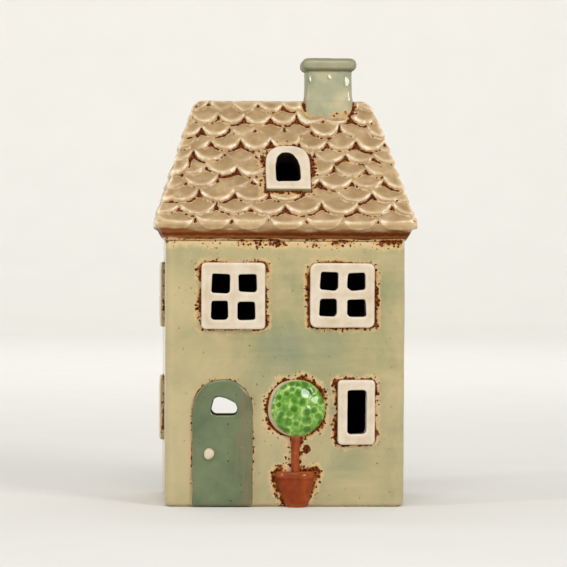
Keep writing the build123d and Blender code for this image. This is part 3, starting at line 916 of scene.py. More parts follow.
def slope_of(along, out, lip, top, lip_along, top_along):
    """One slope: the frame of its clay face from the lip up, its length, half width there and loss per mm."""
    run = lip - top
    length = math.hypot(run, roof_rise)
    origin = Vector((out[0] * lip, out[1] * lip, lip_top))
    up = Vector((-out[0] * run, -out[1] * run, roof_rise))
    face = face_of(origin, (along[0], along[1], 0), up)
    normal = Vector((along[0], along[1], 0)).cross(up.normalized())
    loss = (lip_along - top_along) / length
    return {"face": face, "normal": normal, "length": length, "half": lip_along, "loss": loss}


slopes = {
    "roof_front": slope_of((1, 0), (0, -1), lip_y, top_y, lip_x, top_x),
    "roof_back": slope_of((-1, 0), (0, 1), lip_y, top_y, lip_x, top_x),
    "roof_left": slope_of((0, -1), (-1, 0), lip_x, top_x, lip_y, top_y),
    "roof_right": slope_of((0, 1), (1, 0), lip_x, top_x, lip_y, top_y),
}


def hips_of(slope):
    """The cut along each hip of a slope: a point on it in mm and the direction that leaves the slope."""
    hips = []
    for neighbour in slopes.values():
        if abs(slope["normal"].cross(neighbour["normal"]).z) > 0.1:
            side = slope["normal"] + neighbour["normal"]
            point = Vector((math.copysign(lip_x, side.x), math.copysign(lip_y, side.y), lip_top))
            hips.append((point, neighbour["normal"] - slope["normal"]))
    return hips


def proud_of(at):
    """How far points stand out of the slopes' clay faces, in mm: below zero under them."""
    proud = np.full(len(at), -99.0)
    for slope in slopes.values():
        into = np.array(slope["face"].inverted())
        proud = np.maximum(proud, at * mm @ into[2, :3] + into[2, 3])
    return proud


# One tile: a unit wide, its length and height in metres, round at the lower edge, dished behind a raised rim
tile_clay = bmesh.new()
tile_columns = 8
tile_top_rows = ((0.0, 1.2), (0.6, 1.9), (1.5, 2.05), (3.2, 1.6), (6.5, 1.1), (9.6, 0.6))
tile_under = -1.7
scallop = 5.2
tops, unders = [], []
for column in range(tile_columns + 1):
    across = 0.5 * math.sin(math.pi / 2 * (2 * column / tile_columns - 1))
    low = scallop * (1 - math.sqrt(1 - 0.96 * (2 * across) ** 2)) / 0.8
    top_line, under_line = [], []
    for ahead, height in tile_top_rows:
        droop = 0.55 * (2 * across) ** 4
        reach = low + ahead * (1 - 0.25 * low / scallop)
        top_line.append(tile_clay.verts.new((across, reach * mm, (height - droop) * mm)))
        under_line.append(tile_clay.verts.new((across, reach * mm, tile_under * mm)))
    tops.append(top_line)
    unders.append(under_line)
for a in range(tile_columns):
    for b in range(len(tile_top_rows) - 1):
        tile_clay.faces.new((tops[a][b], tops[a + 1][b], tops[a + 1][b + 1], tops[a][b + 1]))
        tile_clay.faces.new((unders[a][b + 1], unders[a + 1][b + 1], unders[a + 1][b], unders[a][b]))
    tile_clay.faces.new((unders[a][0], unders[a + 1][0], tops[a + 1][0], tops[a][0]))
    tile_clay.faces.new((tops[a][-1], tops[a + 1][-1], unders[a + 1][-1], unders[a][-1]))
for b in range(len(tile_top_rows) - 1):
    tile_clay.faces.new((unders[0][b + 1], unders[0][b], tops[0][b], tops[0][b + 1]))
    tile_clay.faces.new((unders[-1][b], unders[-1][b + 1], tops[-1][b + 1], tops[-1][b]))
tile_mesh = bpy.data.meshes.new("tile")
tile_clay.to_mesh(tile_mesh)
tile_clay.free()
tile = bpy.data.objects.new("tile", tile_mesh)
bpy.context.scene.collection.objects.link(tile)


def sandy(tree, place):
    """Sandy glaze: grey-beige, darker in the dish of each tile where the glaze pools and as painted shade,
    pale on some rims where it thins and as a painted highlight, brown under the eaves, painted shade indoors.
    """
    ground_colour = clouded(tree, place, 8, ((0.3, "#A08158"), (0.5, "#B09167"), (0.7, "#C6A980")), 0.6)
    warmed = tinted(tree, ground_colour, "swell", "#D8BB92")
    edge = lay(tree, "ShaderNodeAttribute", attribute_name="edge").outputs["Fac"]
    broken = lay(
        tree, "ShaderNodeTexNoise", {"Vector": place, "Scale": 1 / (3.0 * mm), "Detail": 2.0}
    ).outputs["Fac"]
    kept = lay(tree, "ShaderNodeMapRange", {"Value": broken, "From Min": 0.43, "From Max": 0.58}).outputs[0]
    thin = lay(tree, "ShaderNodeMath", {0: edge, 1: kept}, operation="MULTIPLY").outputs[0]
    # Rims go pale to near white: the glaze thins there, and the near white is also a painted highlight
    pale = lay(
        tree, "ShaderNodeMix", {0: thin, 6: warmed, 7: linear("#FAE9CB")}, data_type="RGBA"
    ).outputs[2]
    # Darker in the dish of each tile: pooled glaze, and also painted shade
    pale = tinted(tree, pale, "dish", "#836D4F", 0.65)
    axis = lay(tree, "ShaderNodeSeparateXYZ", {0: place}).outputs
    flat_place = lay(tree, "ShaderNodeMapping", {"Vector": place, "Scale": (60, 60, 500)}).outputs[0]
    drag = lay(
        tree, "ShaderNodeTexNoise", {"Vector": flat_place, "Scale": 1.0, "Detail": 3.0}
    ).outputs["Fac"]
    under = {
        "Value": axis[2],
        "From Min": (wall_top + 0.8) * mm,
        "From Max": lip_bottom * mm,
        "To Min": -0.2,
        "To Max": 0.8,
    }
    height = lay(tree, "ShaderNodeMapRange", under, clamp=False).outputs[0]
    streaked = lay(
        tree, "ShaderNodeMath", {0: drag, 1: 0.35, 2: height}, operation="MULTIPLY_ADD"
    ).outputs[0]
    level = lay(
        tree, "ShaderNodeMath", {0: broken, 1: 0.4, 2: streaked}, operation="MULTIPLY_ADD"
    ).outputs[0]
    brown = lay(
        tree,
        "ShaderNodeValToRGB",
        {"Fac": level},
        stops=(
            (0.2, "#3A1606"), (0.3, "#7E481C"), (0.46, "#8A5222"),
            (0.62, "#5E2A0C"), (0.84, "#6E3612"), (1.0, "#8E5626"),
        ),
    ).outputs[0]
    fade = lay(
        tree,
        "ShaderNodeMapRange",
        {"Value": axis[0], "From Min": -0.05, "From Max": 0.05, "To Min": 1.1, "To Max": 0.8},
    ).outputs[0]
    brown = lay(
        tree, "ShaderNodeMix", {0: 1.0, 6: brown, 7: fade}, data_type="RGBA", blend_type="MULTIPLY"
    ).outputs[2]
    soffit = lay(tree, "ShaderNodeAttribute", attribute_name="soffit").outputs["Fac"]
    browned = lay(tree, "ShaderNodeMix", {0: soffit, 6: pale, 7: brown}, data_type="RGBA").outputs[2]
    return tinted(tree, browned, "inside", painted_room_shade)


# Sandy stoneware glaze: glossy on the swells, broken by dull rust in the grooves
sand_glaze = fired("sandy_stoneware_glaze", sandy, roughness=0.07, peel=0.24)

# The courses as one tree: rows up the slope, each tile's place by row and number, shaken a little by hand
courses = bpy.data.node_groups.new("tile_courses", "GeometryNodeTree")
course_inputs = {}
for name, kind in (
    ("Rows", "NodeSocketInt"),
    ("Most Tiles", "NodeSocketInt"),
    ("Tile Width", "NodeSocketFloat"),
    ("Pitch", "NodeSocketFloat"),
    ("Hang", "NodeSocketFloat"),
    ("Lip Half", "NodeSocketFloat"),
    ("Loss", "NodeSocketFloat"),
    ("Shake", "NodeSocketFloat"),
    ("Seed", "NodeSocketInt"),
    ("Tile", "NodeSocketObject"),
    ("Glaze", "NodeSocketMaterial"),
):
    course_inputs[name] = courses.interface.new_socket(name, in_out="INPUT", socket_type=kind).identifier
courses.interface.new_socket("Courses", in_out="OUTPUT", socket_type="NodeSocketGeometry")
given = lay(courses, "NodeGroupInput").outputs
number = lay(courses, "GeometryNodeInputIndex").outputs[0]
sums = {name: given[name] for name in course_inputs}
sums["number"] = number
for name, operation, *terms in (
    ("in_row", "ADD", "Most Tiles", 2.0),
    ("share", "DIVIDE", "number", "in_row"),
    ("row", "FLOOR", "share"),
    ("column", "MODULO", "number", "in_row"),
    ("odd", "MODULO", "row", 2.0),
    ("climb", "MULTIPLY", "row", "Pitch"),
    ("up", "SUBTRACT", "climb", "Hang"),
    ("lost", "MULTIPLY", "up", "Loss"),
    ("half", "SUBTRACT", "Lip Half", "lost"),
    ("wide", "MULTIPLY", "half", 2.0),
    ("wanted", "DIVIDE", "wide", "Tile Width"),
    ("whole", "ROUND", "wanted"),
    ("at_least", "MAXIMUM", "whole", 2.0),
    ("fitted", "MINIMUM", "at_least", "Most Tiles"),
    ("tile_width", "DIVIDE", "wide", "fitted"),
    ("end", "MULTIPLY", "fitted", 0.5),
    ("start", "ADD", "end", 0.5),
    ("even_step", "SUBTRACT", "column", "start"),
    ("step", "MULTIPLY_ADD", "odd", 0.5, "even_step"),
    ("below_end", "MINIMUM", "step", "end"),
    ("minus_end", "MULTIPLY", "end", -1.0),
    ("seat", "MAXIMUM", "below_end", "minus_end"),
    ("along", "MULTIPLY", "seat", "tile_width"),
    ("total", "MULTIPLY", "Rows", "in_row"),
):
    links = {place: sums.get(term, term) for place, term in enumerate(terms)}
    sums[name] = lay(courses, "ShaderNodeMath", links, operation=operation).outputs[0]
laid = lay(courses, "ShaderNodeCombineXYZ", {0: sums["along"], 1: sums["up"]}).outputs[0]
chance = {0: (-1.0, -1.0, -1.0), 1: (1.0, 1.0, 1.0), "ID": number, "Seed": given["Seed"]}
hand = lay(courses, "FunctionNodeRandomValue", chance, data_type="FLOAT_VECTOR").outputs[0]
shake = lay(
    courses, "ShaderNodeVectorMath", {0: hand, "Scale": given["Shake"]}, operation="SCALE"
).outputs[0]
spot = lay(courses, "ShaderNodeVectorMath", {0: laid, 1: shake}).outputs[0]
seats = lay(courses, "GeometryNodePoints", {"Count": sums["total"], "Position": spot}).outputs[0]
more = {**chance, "Seed": 11}
twist = lay(courses, "FunctionNodeRandomValue", more, data_type="FLOAT_VECTOR").outputs[0]
turn = lay(
    courses, "ShaderNodeVectorMath", {0: twist, 1: (0.04, 0.04, 0.1)}, operation="MULTIPLY"
).outputs[0]
size = lay(courses, "ShaderNodeCombineXYZ", {0: sums["tile_width"], 1: 1.0, 2: 1.0}).outputs[0]
pattern = lay(courses, "GeometryNodeObjectInfo", {"Object": given["Tile"]}).outputs["Geometry"]
pressed = lay(
    courses,
    "GeometryNodeInstanceOnPoints",
    {"Points": seats, "Instance": pattern, "Rotation": turn, "Scale": size},
).outputs[0]
whole = lay(courses, "GeometryNodeRealizeInstances", {0: pressed}).outputs[0]
glazed = lay(courses, "GeometryNodeSetMaterial", {"Geometry": whole, "Material": given["Glaze"]}).outputs[0]
lay(courses, "NodeGroupOutput", {0: glazed})

roof_clay = bmesh.new()
block(
    roof_clay,
    ground,
    (rounded(2 * half_x, 2 * half_y, 2.6), wall_top),
    (rounded(2 * lip_x, 2 * lip_y, 3.0), lip_bottom),
    (rounded(2 * lip_x + 0.6 * lip_swell, 2 * lip_y + 0.6 * lip_swell, 4.0), lip_bottom + 0.4),
    (rounded(2 * lip_x + lip_swell, 2 * lip_y + lip_swell, 4.5), lip_bottom + 1.3),
    (rounded(2 * lip_x + lip_swell, 2 * lip_y + lip_swell, 4.5), lip_top - 0.4),
    (rounded(2 * lip_x - 1.6, 2 * lip_y - 2.2, 1.5), lip_top + 2.5),
    (rounded(2 * top_x, 2 * top_y, 1.5), roof_top),
)
for seed, (name, slope) in enumerate(slopes.items()):
    bed = bpy.data.objects.new("bed", bpy.data.meshes.new("bed"))
    bpy.context.scene.collection.objects.link(bed)
    pressing = bed.modifiers.new("courses", "NODES")
    pressing.node_group = courses
    wide_slope = name in ("roof_front", "roof_back")
    stretch = slope["length"] / roof_rise
    for key, value in (
        ("Rows", tile_rows),
        ("Most Tiles", 7 if wide_slope else 6),
        ("Tile Width", (9.0 if wide_slope else 14.0) * mm),
        ("Pitch", tile_pitch * stretch * mm),
        ("Hang", tile_hang * stretch * mm),
        ("Lip Half", slope["half"] * mm),
        ("Loss", slope["loss"]),
        ("Shake", 0.42 * mm),
        ("Seed", seed),
        ("Tile", tile),
        ("Glaze", sand_glaze),
    ):
        pressing[course_inputs[key]] = value
    graph = bpy.context.evaluated_depsgraph_get()
    tiles = bpy.data.meshes.new_from_object(bed.evaluated_get(graph))
    bed.modifiers.clear()
    bpy.data.objects.remove(bed)
    tiles.transform(slope["face"] @ Matrix.Scale(1 / mm, 4))
    course = bmesh.new()
    course.from_mesh(tiles)
    bpy.data.meshes.remove(tiles)
    out = Vector((slope["normal"].x, slope["normal"].y, 0)).normalized()
    lip_face = Vector((out.x * (lip_x + 1.7), out.y * (lip_y + 1.7), lip_bottom + 0.5))
    trims = hips_of(slope) + [((0, 0, roof_top), (0, 0, 1)), (lip_face, out), (lip_face, (0, 0, -1))]
    for point, beyond in trims:
        bmesh.ops.bisect_plane(
            course,
            geom=course.verts[:] + course.edges[:] + course.faces[:],
            plane_co=Vector(point) * mm,
            plane_no=beyond,
            clear_outer=True,
            dist=1e-8,
        )
        bmesh.ops.holes_fill(course, edges=[e for e in course.edges if e.is_boundary], sides=0)
    trimmed = bpy.data.meshes.new("trimmed")
    course.to_mesh(trimmed)
    course.free()
    roof_clay.from_mesh(trimmed)
    bpy.data.meshes.remove(trimmed)
bpy.data.objects.remove(tile)

attic_cut, sky_cut, flue_cut = bmesh.new(), bmesh.new(), bmesh.new()
attic_spring, attic_knee, attic_top = 122.8, 128.35, 165.2
attic_plan = rounded(2 * inner_x, 2 * inner_y, 1.5)
block(
    attic_cut,
    ground,
    (attic_plan, wall_top - 2.0),
    (attic_plan, attic_spring),
    (rounded(2 * inner_x, 56.4, 1.5), attic_knee),
    (rounded(63.8, 12.4, 1.5), attic_top),
)
sky_face = slopes["roof_front"]["face"]
sky_middle = (1.1, 25.4)
sky_size = (18.9, 21.6)
sky_foot = sky_middle[1] - sky_size[1] / 2
sky_spring = sky_foot + sky_size[1] - sky_size[0] / 2
sky_outline = arched(sky_size[0], sky_spring, sky_foot, sky_middle[0], fullness=0.8)
sky_hole = [
    (-4.9, -6.6), (-4.2, -7.1), (4.3, -6.8), (5.2, -5.6), (4.9, 0.5), (4.0, 3.6),
    (2.0, 6.4), (0.2, 7.1), (-2.6, 6.9), (-4.4, 4.8), (-5.1, 1.0),
]
sky_hole = moved(sky_hole, sky_middle)
block(sky_cut, sky_face, (sky_hole, -12.0), (sky_hole, 6.0))
chimney_at = (19.38, -4.25)
stack_width = 19.5
stack_foot = cap_bottom - 8
flue_plan = rounded(10.5, 10.5, 1.6, chimney_at)
flue_bore = ((flue_plan, 150.0), (flue_plan, 200.0))
block(flue_cut, ground, *flue_bore)
roof = knead(roof_clay, (attic_cut, sky_cut, flue_cut), roof_grain, 2, wobble=0.4, span=7.0, fuse=True)
at = places(roof)
stack_plan = rounded(stack_width, stack_width, 2.0, chimney_at)
# The tiles are pressed flat against the foot of the chimney, and the crest is wiped round with a sponge
beside = np.clip(1 - (away(at[:, :2], stack_plan) - 0.6) / 2.2, 0, 1) * (at[:, 2] > stack_foot)
proud = proud_of(at)
at[:, 2] -= beside * np.clip(proud, 0, 3) * 0.8
wiped_y = 1 - np.sqrt(1 - np.clip((at[:, 2] - roof_top + 2.4) / 2.6, 0, 1) ** 2)
wiped_x = 1 - np.sqrt(1 - np.clip((at[:, 2] - roof_top + 4.4) / 4.7, 0, 1) ** 2)
at[:, 0] -= np.sign(at[:, 0]) * 3.4 * wiped_x * np.clip(np.abs(at[:, 0]) / top_x, 0, 1) ** 6
at[:, 1] -= np.sign(at[:, 1]) * 1.7 * wiped_y * np.clip(np.abs(at[:, 1]) / top_y, 0, 1) ** 2
top_lumps = np.sin(at[:, 0] * 0.9 + 1.3 * np.sin(at[:, 1] * 0.7))
top_lumps = top_lumps * np.sin(at[:, 1] * 1.1 + np.sin(at[:, 0] * 0.6))
at[:, 2] += np.clip((at[:, 2] - roof_top + 1.5) / 1.5, 0, 1) * (0.12 * top_lumps - 0.12)
# The lip hangs a little lower under the middle of each tile of the lowest course
lip_tile = 15.3
run = np.where(np.abs(at[:, 1]) / lip_y > np.abs(at[:, 0]) / lip_x, at[:, 0], at[:, 1])
near_lip = np.clip(1 - np.abs(at[:, 2] - lip_bottom - 0.6) / 2.0, 0, 1)
at[:, 2] -= 0.45 * near_lip * np.cos(math.tau * run / lip_tile)
at = np.clip(at, np.array(cad_box[0]) / mm, np.array(cad_box[1]) / mm)
put(roof, at)
x, y, z = at.T
dip = hollows(roof, 12)
groove = np.clip((dip - 0.005) / 0.08, 0, 1)
broad_dip = hollows(roof, 60)
iron = 0.6 * groove + 0.8 * np.clip((dip - 0.085) / 0.1, 0, 1)
iron = iron + 0.9 * np.clip((broad_dip - 0.23) / 0.12, 0, 1) * np.clip(dip / 0.05, 0, 1)
into = np.array(sky_face.inverted())
on_slope = at * mm @ into[:2, :3].T + into[:2, 3]
front_skin = (y < 0) & (z > lip_top)
sky_squeeze = squeezed(on_slope, sky_outline, 4.6, 0.98, 0.85, 0.75)
iron = np.where(front_skin, np.maximum(iron, sky_squeeze), iron)
foot_weight = 0.5 + 0.45 * np.clip((np.abs(x - chimney_at[0]) - 7) / 4, 0, 1)
foot_squeeze = foot_weight * np.clip(1 - away(at[:, :2], stack_plan) / 3.5, 0, 1)
iron = np.where(z > stack_foot, np.maximum(iron, foot_squeeze), iron)
ragged = 0.3 * np.sin((x + y) / 3.7) + 0.25 * np.sin((x - y) / 1.7 + 1) + np.clip((-38 - x) / 6, 0, 1) * 0.7
eave_foot = np.clip((wall_top + 1.0 + 0.5 * ragged - z) / 0.4, 0, 1)
soffit = np.clip((lip_bottom + 0.25 + ragged - z) / 0.8, 0, 1) * (1 - eave_foot)
shaded_sky_reveal = front_skin & (away(on_slope, sky_outline) < -1.2)
iron = iron * (1 - soffit) * ~shaded_sky_reveal
iron = np.maximum(iron, (0.55 + 0.2 * np.clip((x + 22) / 16, 0, 1)) * eave_foot)
# Painted shade: the roof space and the reveal of the skylight hole are painted dark
inside = (np.abs(x) < inner_x + 1) & (np.abs(y) < inner_y + 1) & (z < 166) & (proud < -2.2) | shaded_sky_reveal
above_lip = np.clip((z - lip_bottom - 1.6) / 1.0, 0.15, 1)
# Pale rims: the glaze thins there, and the tint is also a painted highlight
edge = np.clip((-dip - 0.055) / 0.1, 0, 1) * above_lip
# The dish of each tile: the glaze pools there, and its darkening is also painted shade
dish = np.clip((broad_dip - 0.02) / 0.3, 0, 1) * (1 - groove)
swell = np.clip((-broad_dip - 0.02) / 0.35, 0, 1) * above_lip
matt = np.maximum(soffit, 0.6 * np.clip((z - roof_top + 1.2) / 0.8, 0, 1))
paint(roof, iron=iron, inside=inside, edge=edge, soffit=soffit, dish=dish, swell=swell, matt=matt)
for name, slope in slopes.items():
    inward = -Vector((slope["normal"].x, slope["normal"].y, 0)).normalized()
    cuts = [((0, 0, cap_bottom), (0, 0, 1)), ((0, 0, 0), inward)] + hips_of(slope)
    set_in(name, sliced(roof, *cuts), sand_glaze, "roof_glaze", "house", name)
cap = sliced(roof, ((0, 0, cap_bottom), (0, 0, -1)))
set_in("roof_cap", cap, sand_glaze, "roof_glaze", "house", "roof_cap")
bpy.data.meshes.remove(roof)

# Skylight
# An arched ring of white clay let into the front slope and luted round with slip.
sky_inset = arched(sky_size[0] - 1.0, sky_spring, sky_foot + 0.5, sky_middle[0], fullness=0.8)
# The cut sides of the skylight's hole take painted shade
skylight = sprig(sky_face, sky_outline, sky_inset, 3.6, [sky_hole], shade_cut_sides=True)
set_in("skylight_frame", skylight, cream_glaze, "frame_glaze", "house", "skylight_frame")

# Chimney
# A square stack of four strips scribed to the roof, with a coil round its mouth; both are open to the room.
# It has the wall's celadon, thinner and paler, with a dark line where the coil sits, painted shade at the top
# and foot of the coil and in the flue, and edges darkened partly as a painted reflection.
stack_top = roof_top + 12.8
stack_rings = []
for swell, height in (
    (0.0, roof_top - 9.0), (0.4, roof_top - 3.0), (0.7, roof_top), (0.1, roof_top + 2.0),
    (-0.2, roof_top + 4.0), (-0.3, stack_top - 3.0), (-0.1, stack_top),
):
    stack_rings.append((rounded(stack_width + swell, stack_width + swell, 2.2, chimney_at), height))
stack_clay, stack_cut = bmesh.new(), bmesh.new()
block(stack_clay, ground, *stack_rings)
block(stack_cut, ground, *flue_bore)
stack = knead(stack_clay, (stack_cut,), 0.42, 6, wobble=0.3, span=10.0)
at = places(stack)
front = at[:, 1] < chimney_at[1] - 8.5
glints = ((0.2, -2.6, 1.35, 1.5), (7.3, -4.6, 1.5, 3.0), (-8.1, -3.6, 0.9, 2.4))
dabbed(at, front, (0.28, 0.15), *((chimney_at[0] + dx, stack_top + dz, *size) for dx, dz, *size in glints))
put(stack, at)
rim_width = 23.1
rim_rings = []
for back, height in (
    (2.0, -0.3), (0.7, 0.5), (0.15, 1.4), (0.0, 2.5), (0.25, 3.8), (0.9, 4.7), (1.7, 5.2), (2.6, 5.3)
):
    width = rim_width - 2 * back
    rim_rings.append((rounded(width, width, 2.6, chimney_at), stack_top + height))
rim_clay, rim_cut = bmesh.new(), bmesh.new()
block(rim_clay, ground, *rim_rings)
block(rim_cut, ground, *flue_bore)
rim_mesh = knead(rim_clay, (rim_cut,), 0.42, 6, wobble=0.35, span=7.0)


def pale_celadon(tree, place):
    """Pale celadon: grey-green clouded with cream, darker in the seam and, as painted shade, at the top and
    foot of the coil; greyer on edges where it thins and as a painted dark reflection; painted shade in the
    flue.
    """
    ground_colour = clouded(tree, place, 9, ((0.3, "#A2A688"), (0.5, "#B4B192"), (0.7, "#CBBF99")))
    dark_joint_and_shade = tinted(tree, ground_colour, "pool", "#696C55", 0.72)
    # Edges darker: thin glaze, and also a painted dark reflection
    thin = tinted(tree, dark_joint_and_shade, "edge", "#7E826B", 0.6)
    return tinted(tree, thin, "inside", painted_room_shade)


# Pale celadon glaze: as glassy as the walls
chimney_glaze = fired("pale_celadon_glaze", pale_celadon, roughness=0.08, peel=0.05)
for name, mesh, is_coil in (("chimney_stack", stack, False), ("chimney_rim", rim_mesh, True)):
    at = places(mesh)
    off = np.maximum(np.abs(at[:, 0] - chimney_at[0]), np.abs(at[:, 1] - chimney_at[1]))
    proud = np.maximum(proud_of(at), at[:, 2] - roof_top)
    seam = np.exp(-(((at[:, 2] - stack_top) / 0.5) ** 2))
    # The top and foot of the coil are painted darker as painted shade
    off_belly = np.abs(at[:, 2] - stack_top - 2.7) - 1.5
    paint(
        mesh,
        iron=np.maximum(0.3 * (not is_coil) * seam, 0.6 * np.clip(1 - (proud - 1.4) / 1.2, 0, 1)),
        # Painted shade in the flue
        inside=np.clip((6.4 - off) / 0.8, 0, 1),
        edge=np.clip(-hollows(mesh, 8) / 0.2, 0, 1),
        matt=np.clip((-outward(mesh)[:, (0, 2)].min(1) - 0.5) / 0.3, 0, 1),
        pool=np.clip(0.5 + 1.2 * off_belly, 0.45, 1) if is_coil else 0.9 * seam,
    )
    set_in(name, mesh, chimney_glaze, "chimney_glaze", "house", name)

# Tealight
# A drawn aluminium cup with a rolled bead, a poured candle, and a waxed cotton wick in a crimped steel foot.
# The cup slides in through the back mouth, and the candle lifts out of the cup.
turned_steps = 96


def turned(profile, lobes=0, depth=0.0, twist=0.0):
    """A closed mesh turned on a lathe from a profile of (radius, height) in mm, lobed if asked."""
    clay = bmesh.new()
    loops = []
    for radius, height in profile:
        if radius < 1e-6:
            loops.append([clay.verts.new((0, 0, height * mm))])
            continue
        loop = []
        for step in range(turned_steps):
            turn = math.tau * step / turned_steps
            grown = radius * (1 + depth * math.cos(lobes * turn + twist * height))
            x, y = grown * math.cos(turn), grown * math.sin(turn)
            loop.append(clay.verts.new((x * mm, y * mm, height * mm)))
        loops.append(loop)
    for lower, upper in zip(loops, loops[1:]):
        for a in range(turned_steps):
            b = (a + 1) % turned_steps
            if len(lower) == 1:
                clay.faces.new((lower[0], upper[b], upper[a]))
            elif len(upper) == 1:
                clay.faces.new((lower[a], lower[b], upper[0]))
            else:
                clay.faces.new((lower[a], lower[b], upper[b], upper[a]))
    mesh = bpy.data.meshes.new("turned")
    clay.to_mesh(mesh)
    clay.free()
    return mesh


def plain(name, body, roughness, metallic=0.0, grain=0.1, grain_depth=0.02):
    """A surface with a colour from body(tree, place), and a fine grain in its roughness and relief."""
    material = bpy.data.materials.new(name)
    material.use_nodes = True
    tree = material.node_tree
    shader = tree.nodes["Principled BSDF"]
    place = lay(tree, "ShaderNodeTexCoord").outputs["Object"]
    tree.links.new(body(tree, place), shader.inputs["Base Color"])
    fibre = lay(
        tree, "ShaderNodeTexNoise", {"Vector": place, "Scale": 1 / (grain * mm), "Detail": 3.0}
    ).outputs["Fac"]
    dull = lay(
        tree, "ShaderNodeMapRange", {"Value": fibre, "To Min": roughness * 0.75, "To Max": roughness * 1.25}
    ).outputs[0]
    tree.links.new(dull, shader.inputs["Roughness"])
    bump = lay(
        tree, "ShaderNodeBump", {"Height": fibre, "Distance": grain_depth * mm, "Strength": 0.5}
    ).outputs[0]
    tree.links.new(bump, shader.inputs["Normal"])
    shader.inputs["Metallic"].default_value = metallic
    return material


def drawn_metal(tree, place):
    """Bright grey with faint draw lines up the wall."""
    tall_place = lay(tree, "ShaderNodeMapping", {"Vector": place, "Scale": (1500, 1500, 60)}).outputs[0]
    line = lay(
        tree, "ShaderNodeTexNoise", {"Vector": tall_place, "Scale": 1.0, "Detail": 2.0}
    ).outputs["Fac"]
    return lay(
        tree, "ShaderNodeValToRGB", {"Fac": line}, stops=((0.3, "#C3C5C8"), (0.7, "#DEDFE1"))
    ).outputs[0]


def paraffin(tree, place):
    """Milky white with slow cloudy flow marks from the pour."""
    return clouded(tree, place, 6, ((0.3, "#EFECE3"), (0.7, "#F7F5EF")))


def cotton(tree, place):
    """Cream cotton, greyer between the twisted strands."""
    return clouded(tree, place, 0.3, ((0.3, "#C9C1AE"), (0.7, "#F0EADB")))


# Drawn aluminium: soft mirror with lengthwise lines; paraffin: waxy and slightly see-through; cotton: dull
aluminium = plain("drawn_aluminium", drawn_metal, 0.28, metallic=1.0, grain=1.2)
wax_white = plain("poured_paraffin", paraffin, 0.42, grain=2.5, grain_depth=0.05)
wax_shader = wax_white.node_tree.nodes["Principled BSDF"]
wax_shader.inputs["Subsurface Weight"].default_value = 0.35
wax_shader.inputs["Subsurface Radius"].default_value = (0.004, 0.003, 0.002)
wick_white = plain("waxed_cotton", cotton, 0.8, grain=0.3, grain_depth=0.06)
tin = plain("tinned_steel", drawn_metal, 0.35, metallic=1.0, grain=0.8)

cup_low, cup_high = box_of("tealight_cup")
wax_low, wax_high = box_of("tealight_wax")
wick_low, wick_high = box_of("tealight_wick")
foot_low, foot_high = box_of("wick_foot")
# Each profile goes by the piece's radius r, its bottom b and its top t
bead = (cup_high.x - cup_low.x) / 2
cup_wall = 0.4
r, b, t = bead - 0.5, cup_low.z, cup_high.z
bore = r - cup_wall
cup = turned(
    (
        (0, b), (6.0, b), (6.5, b + 0.15), (12.0, b + 0.15), (12.5, b), (r - 1.1, b), (r - 0.4, b + 0.3),
        (r - 0.05, b + 1.0), (r, b + 2.0), (r, t - 1.2), (r + 0.15, t - 0.9), (bead - 0.08, t - 0.75),
        (bead, t - 0.45), (bead - 0.1, t - 0.12), (r + 0.1, t), (r - 0.25, t - 0.1), (bore, t - 0.5),
        (bore, b + 2.0), (bore - 0.1, b + 1.2), (r - 0.9, b + 0.6), (r - 1.4, b + cup_wall),
        (0, b + cup_wall),
    )
)
set_in("tealight_cup", cup, aluminium, "cup_metal", "tealight", "tealight_cup")
r, b, t = (wax_high.x - wax_low.x) / 2, wax_low.z, wax_high.z
wax = turned(
    (
        (0, b), (r - 1.2, b), (r - 0.3, b + 0.5), (r, b + 1.4), (r, t - 0.4), (r - 0.15, t - 0.05),
        (r - 0.5, t - 0.1), (r - 1.6, t - 0.45), (r - 4, t - 0.6), (9.0, t - 0.7), (4.0, t - 0.6),
        (2.0, t - 0.4), (1.1, t - 0.1), (0.9, t), (0, t),
    )
)
set_in("tealight_wax", wax, wax_white, "wax", "candle", "tealight_wax")
r, b, t = (wick_high.x - wick_low.x) / 2, wick_low.z, wick_high.z
wick_steps = 24
wick_profile = [(0, b)]
for step in range(wick_steps + 1):
    share = step / wick_steps
    taper = 0.85 if step in (0, wick_steps) else 1.0
    wick_profile.append((r / 1.12 * taper, b + 0.02 + (t - b - 0.04) * share))
wick_profile.append((0, t))
wick = turned(wick_profile, lobes=3, depth=0.12, twist=1.6)
set_in("tealight_wick", wick, wick_white, "wick_cotton", "candle", "tealight_wick")
r, b, t = (foot_high.x - foot_low.x) / 2, foot_low.z, foot_high.z
foot = turned(
    (
        (0, b), (r - 0.1, b), (r, b + 0.15), (r - 0.1, b + 0.3), (3.0, b + 0.45), (2.0, b + 0.7),
        (1.5, b + 1.4), (1.35, t - 0.5), (1.3, t - 0.1), (1.15, t), (0, t),
    )
)
set_in("wick_foot", foot, tin, "foot_metal", "candle", "wick_foot")


# Stage, lamps and camera
# A pale seamless sweep all round the object, an even white room, three softboxes and a lamp on the backdrop.
# The camera stands level with the house and a little to its left, as the photograph was taken.
sweep = bmesh.new()
sweep_profile = [(0.0, 0.0), (1.2, 0.0), (2.2, 0.0)]
for step in range(1, 13):
    turn = math.pi / 2 * step / 12
    sweep_profile.append((2.2 + 0.6 * math.sin(turn), 0.6 - 0.6 * math.cos(turn)))
sweep_profile.append((2.8, 1.0))
hub = sweep.verts.new((0, 0, 0))
last_ring = None
sweep_steps = 96
for radius, height in sweep_profile[1:]:
    ring = []
    for step in range(sweep_steps):
        turn = math.tau * step / sweep_steps
        ring.append(sweep.verts.new((radius * math.cos(turn), radius * math.sin(turn), height)))
    for a in range(sweep_steps):
        b = (a + 1) % sweep_steps
        if last_ring:
            sweep.faces.new((last_ring[a], ring[a], ring[b], last_ring[b]))
        else:
            sweep.faces.new((hub, ring[a], ring[b]))
    last_ring = ring
sweep_mesh = bpy.data.meshes.new("sweep")
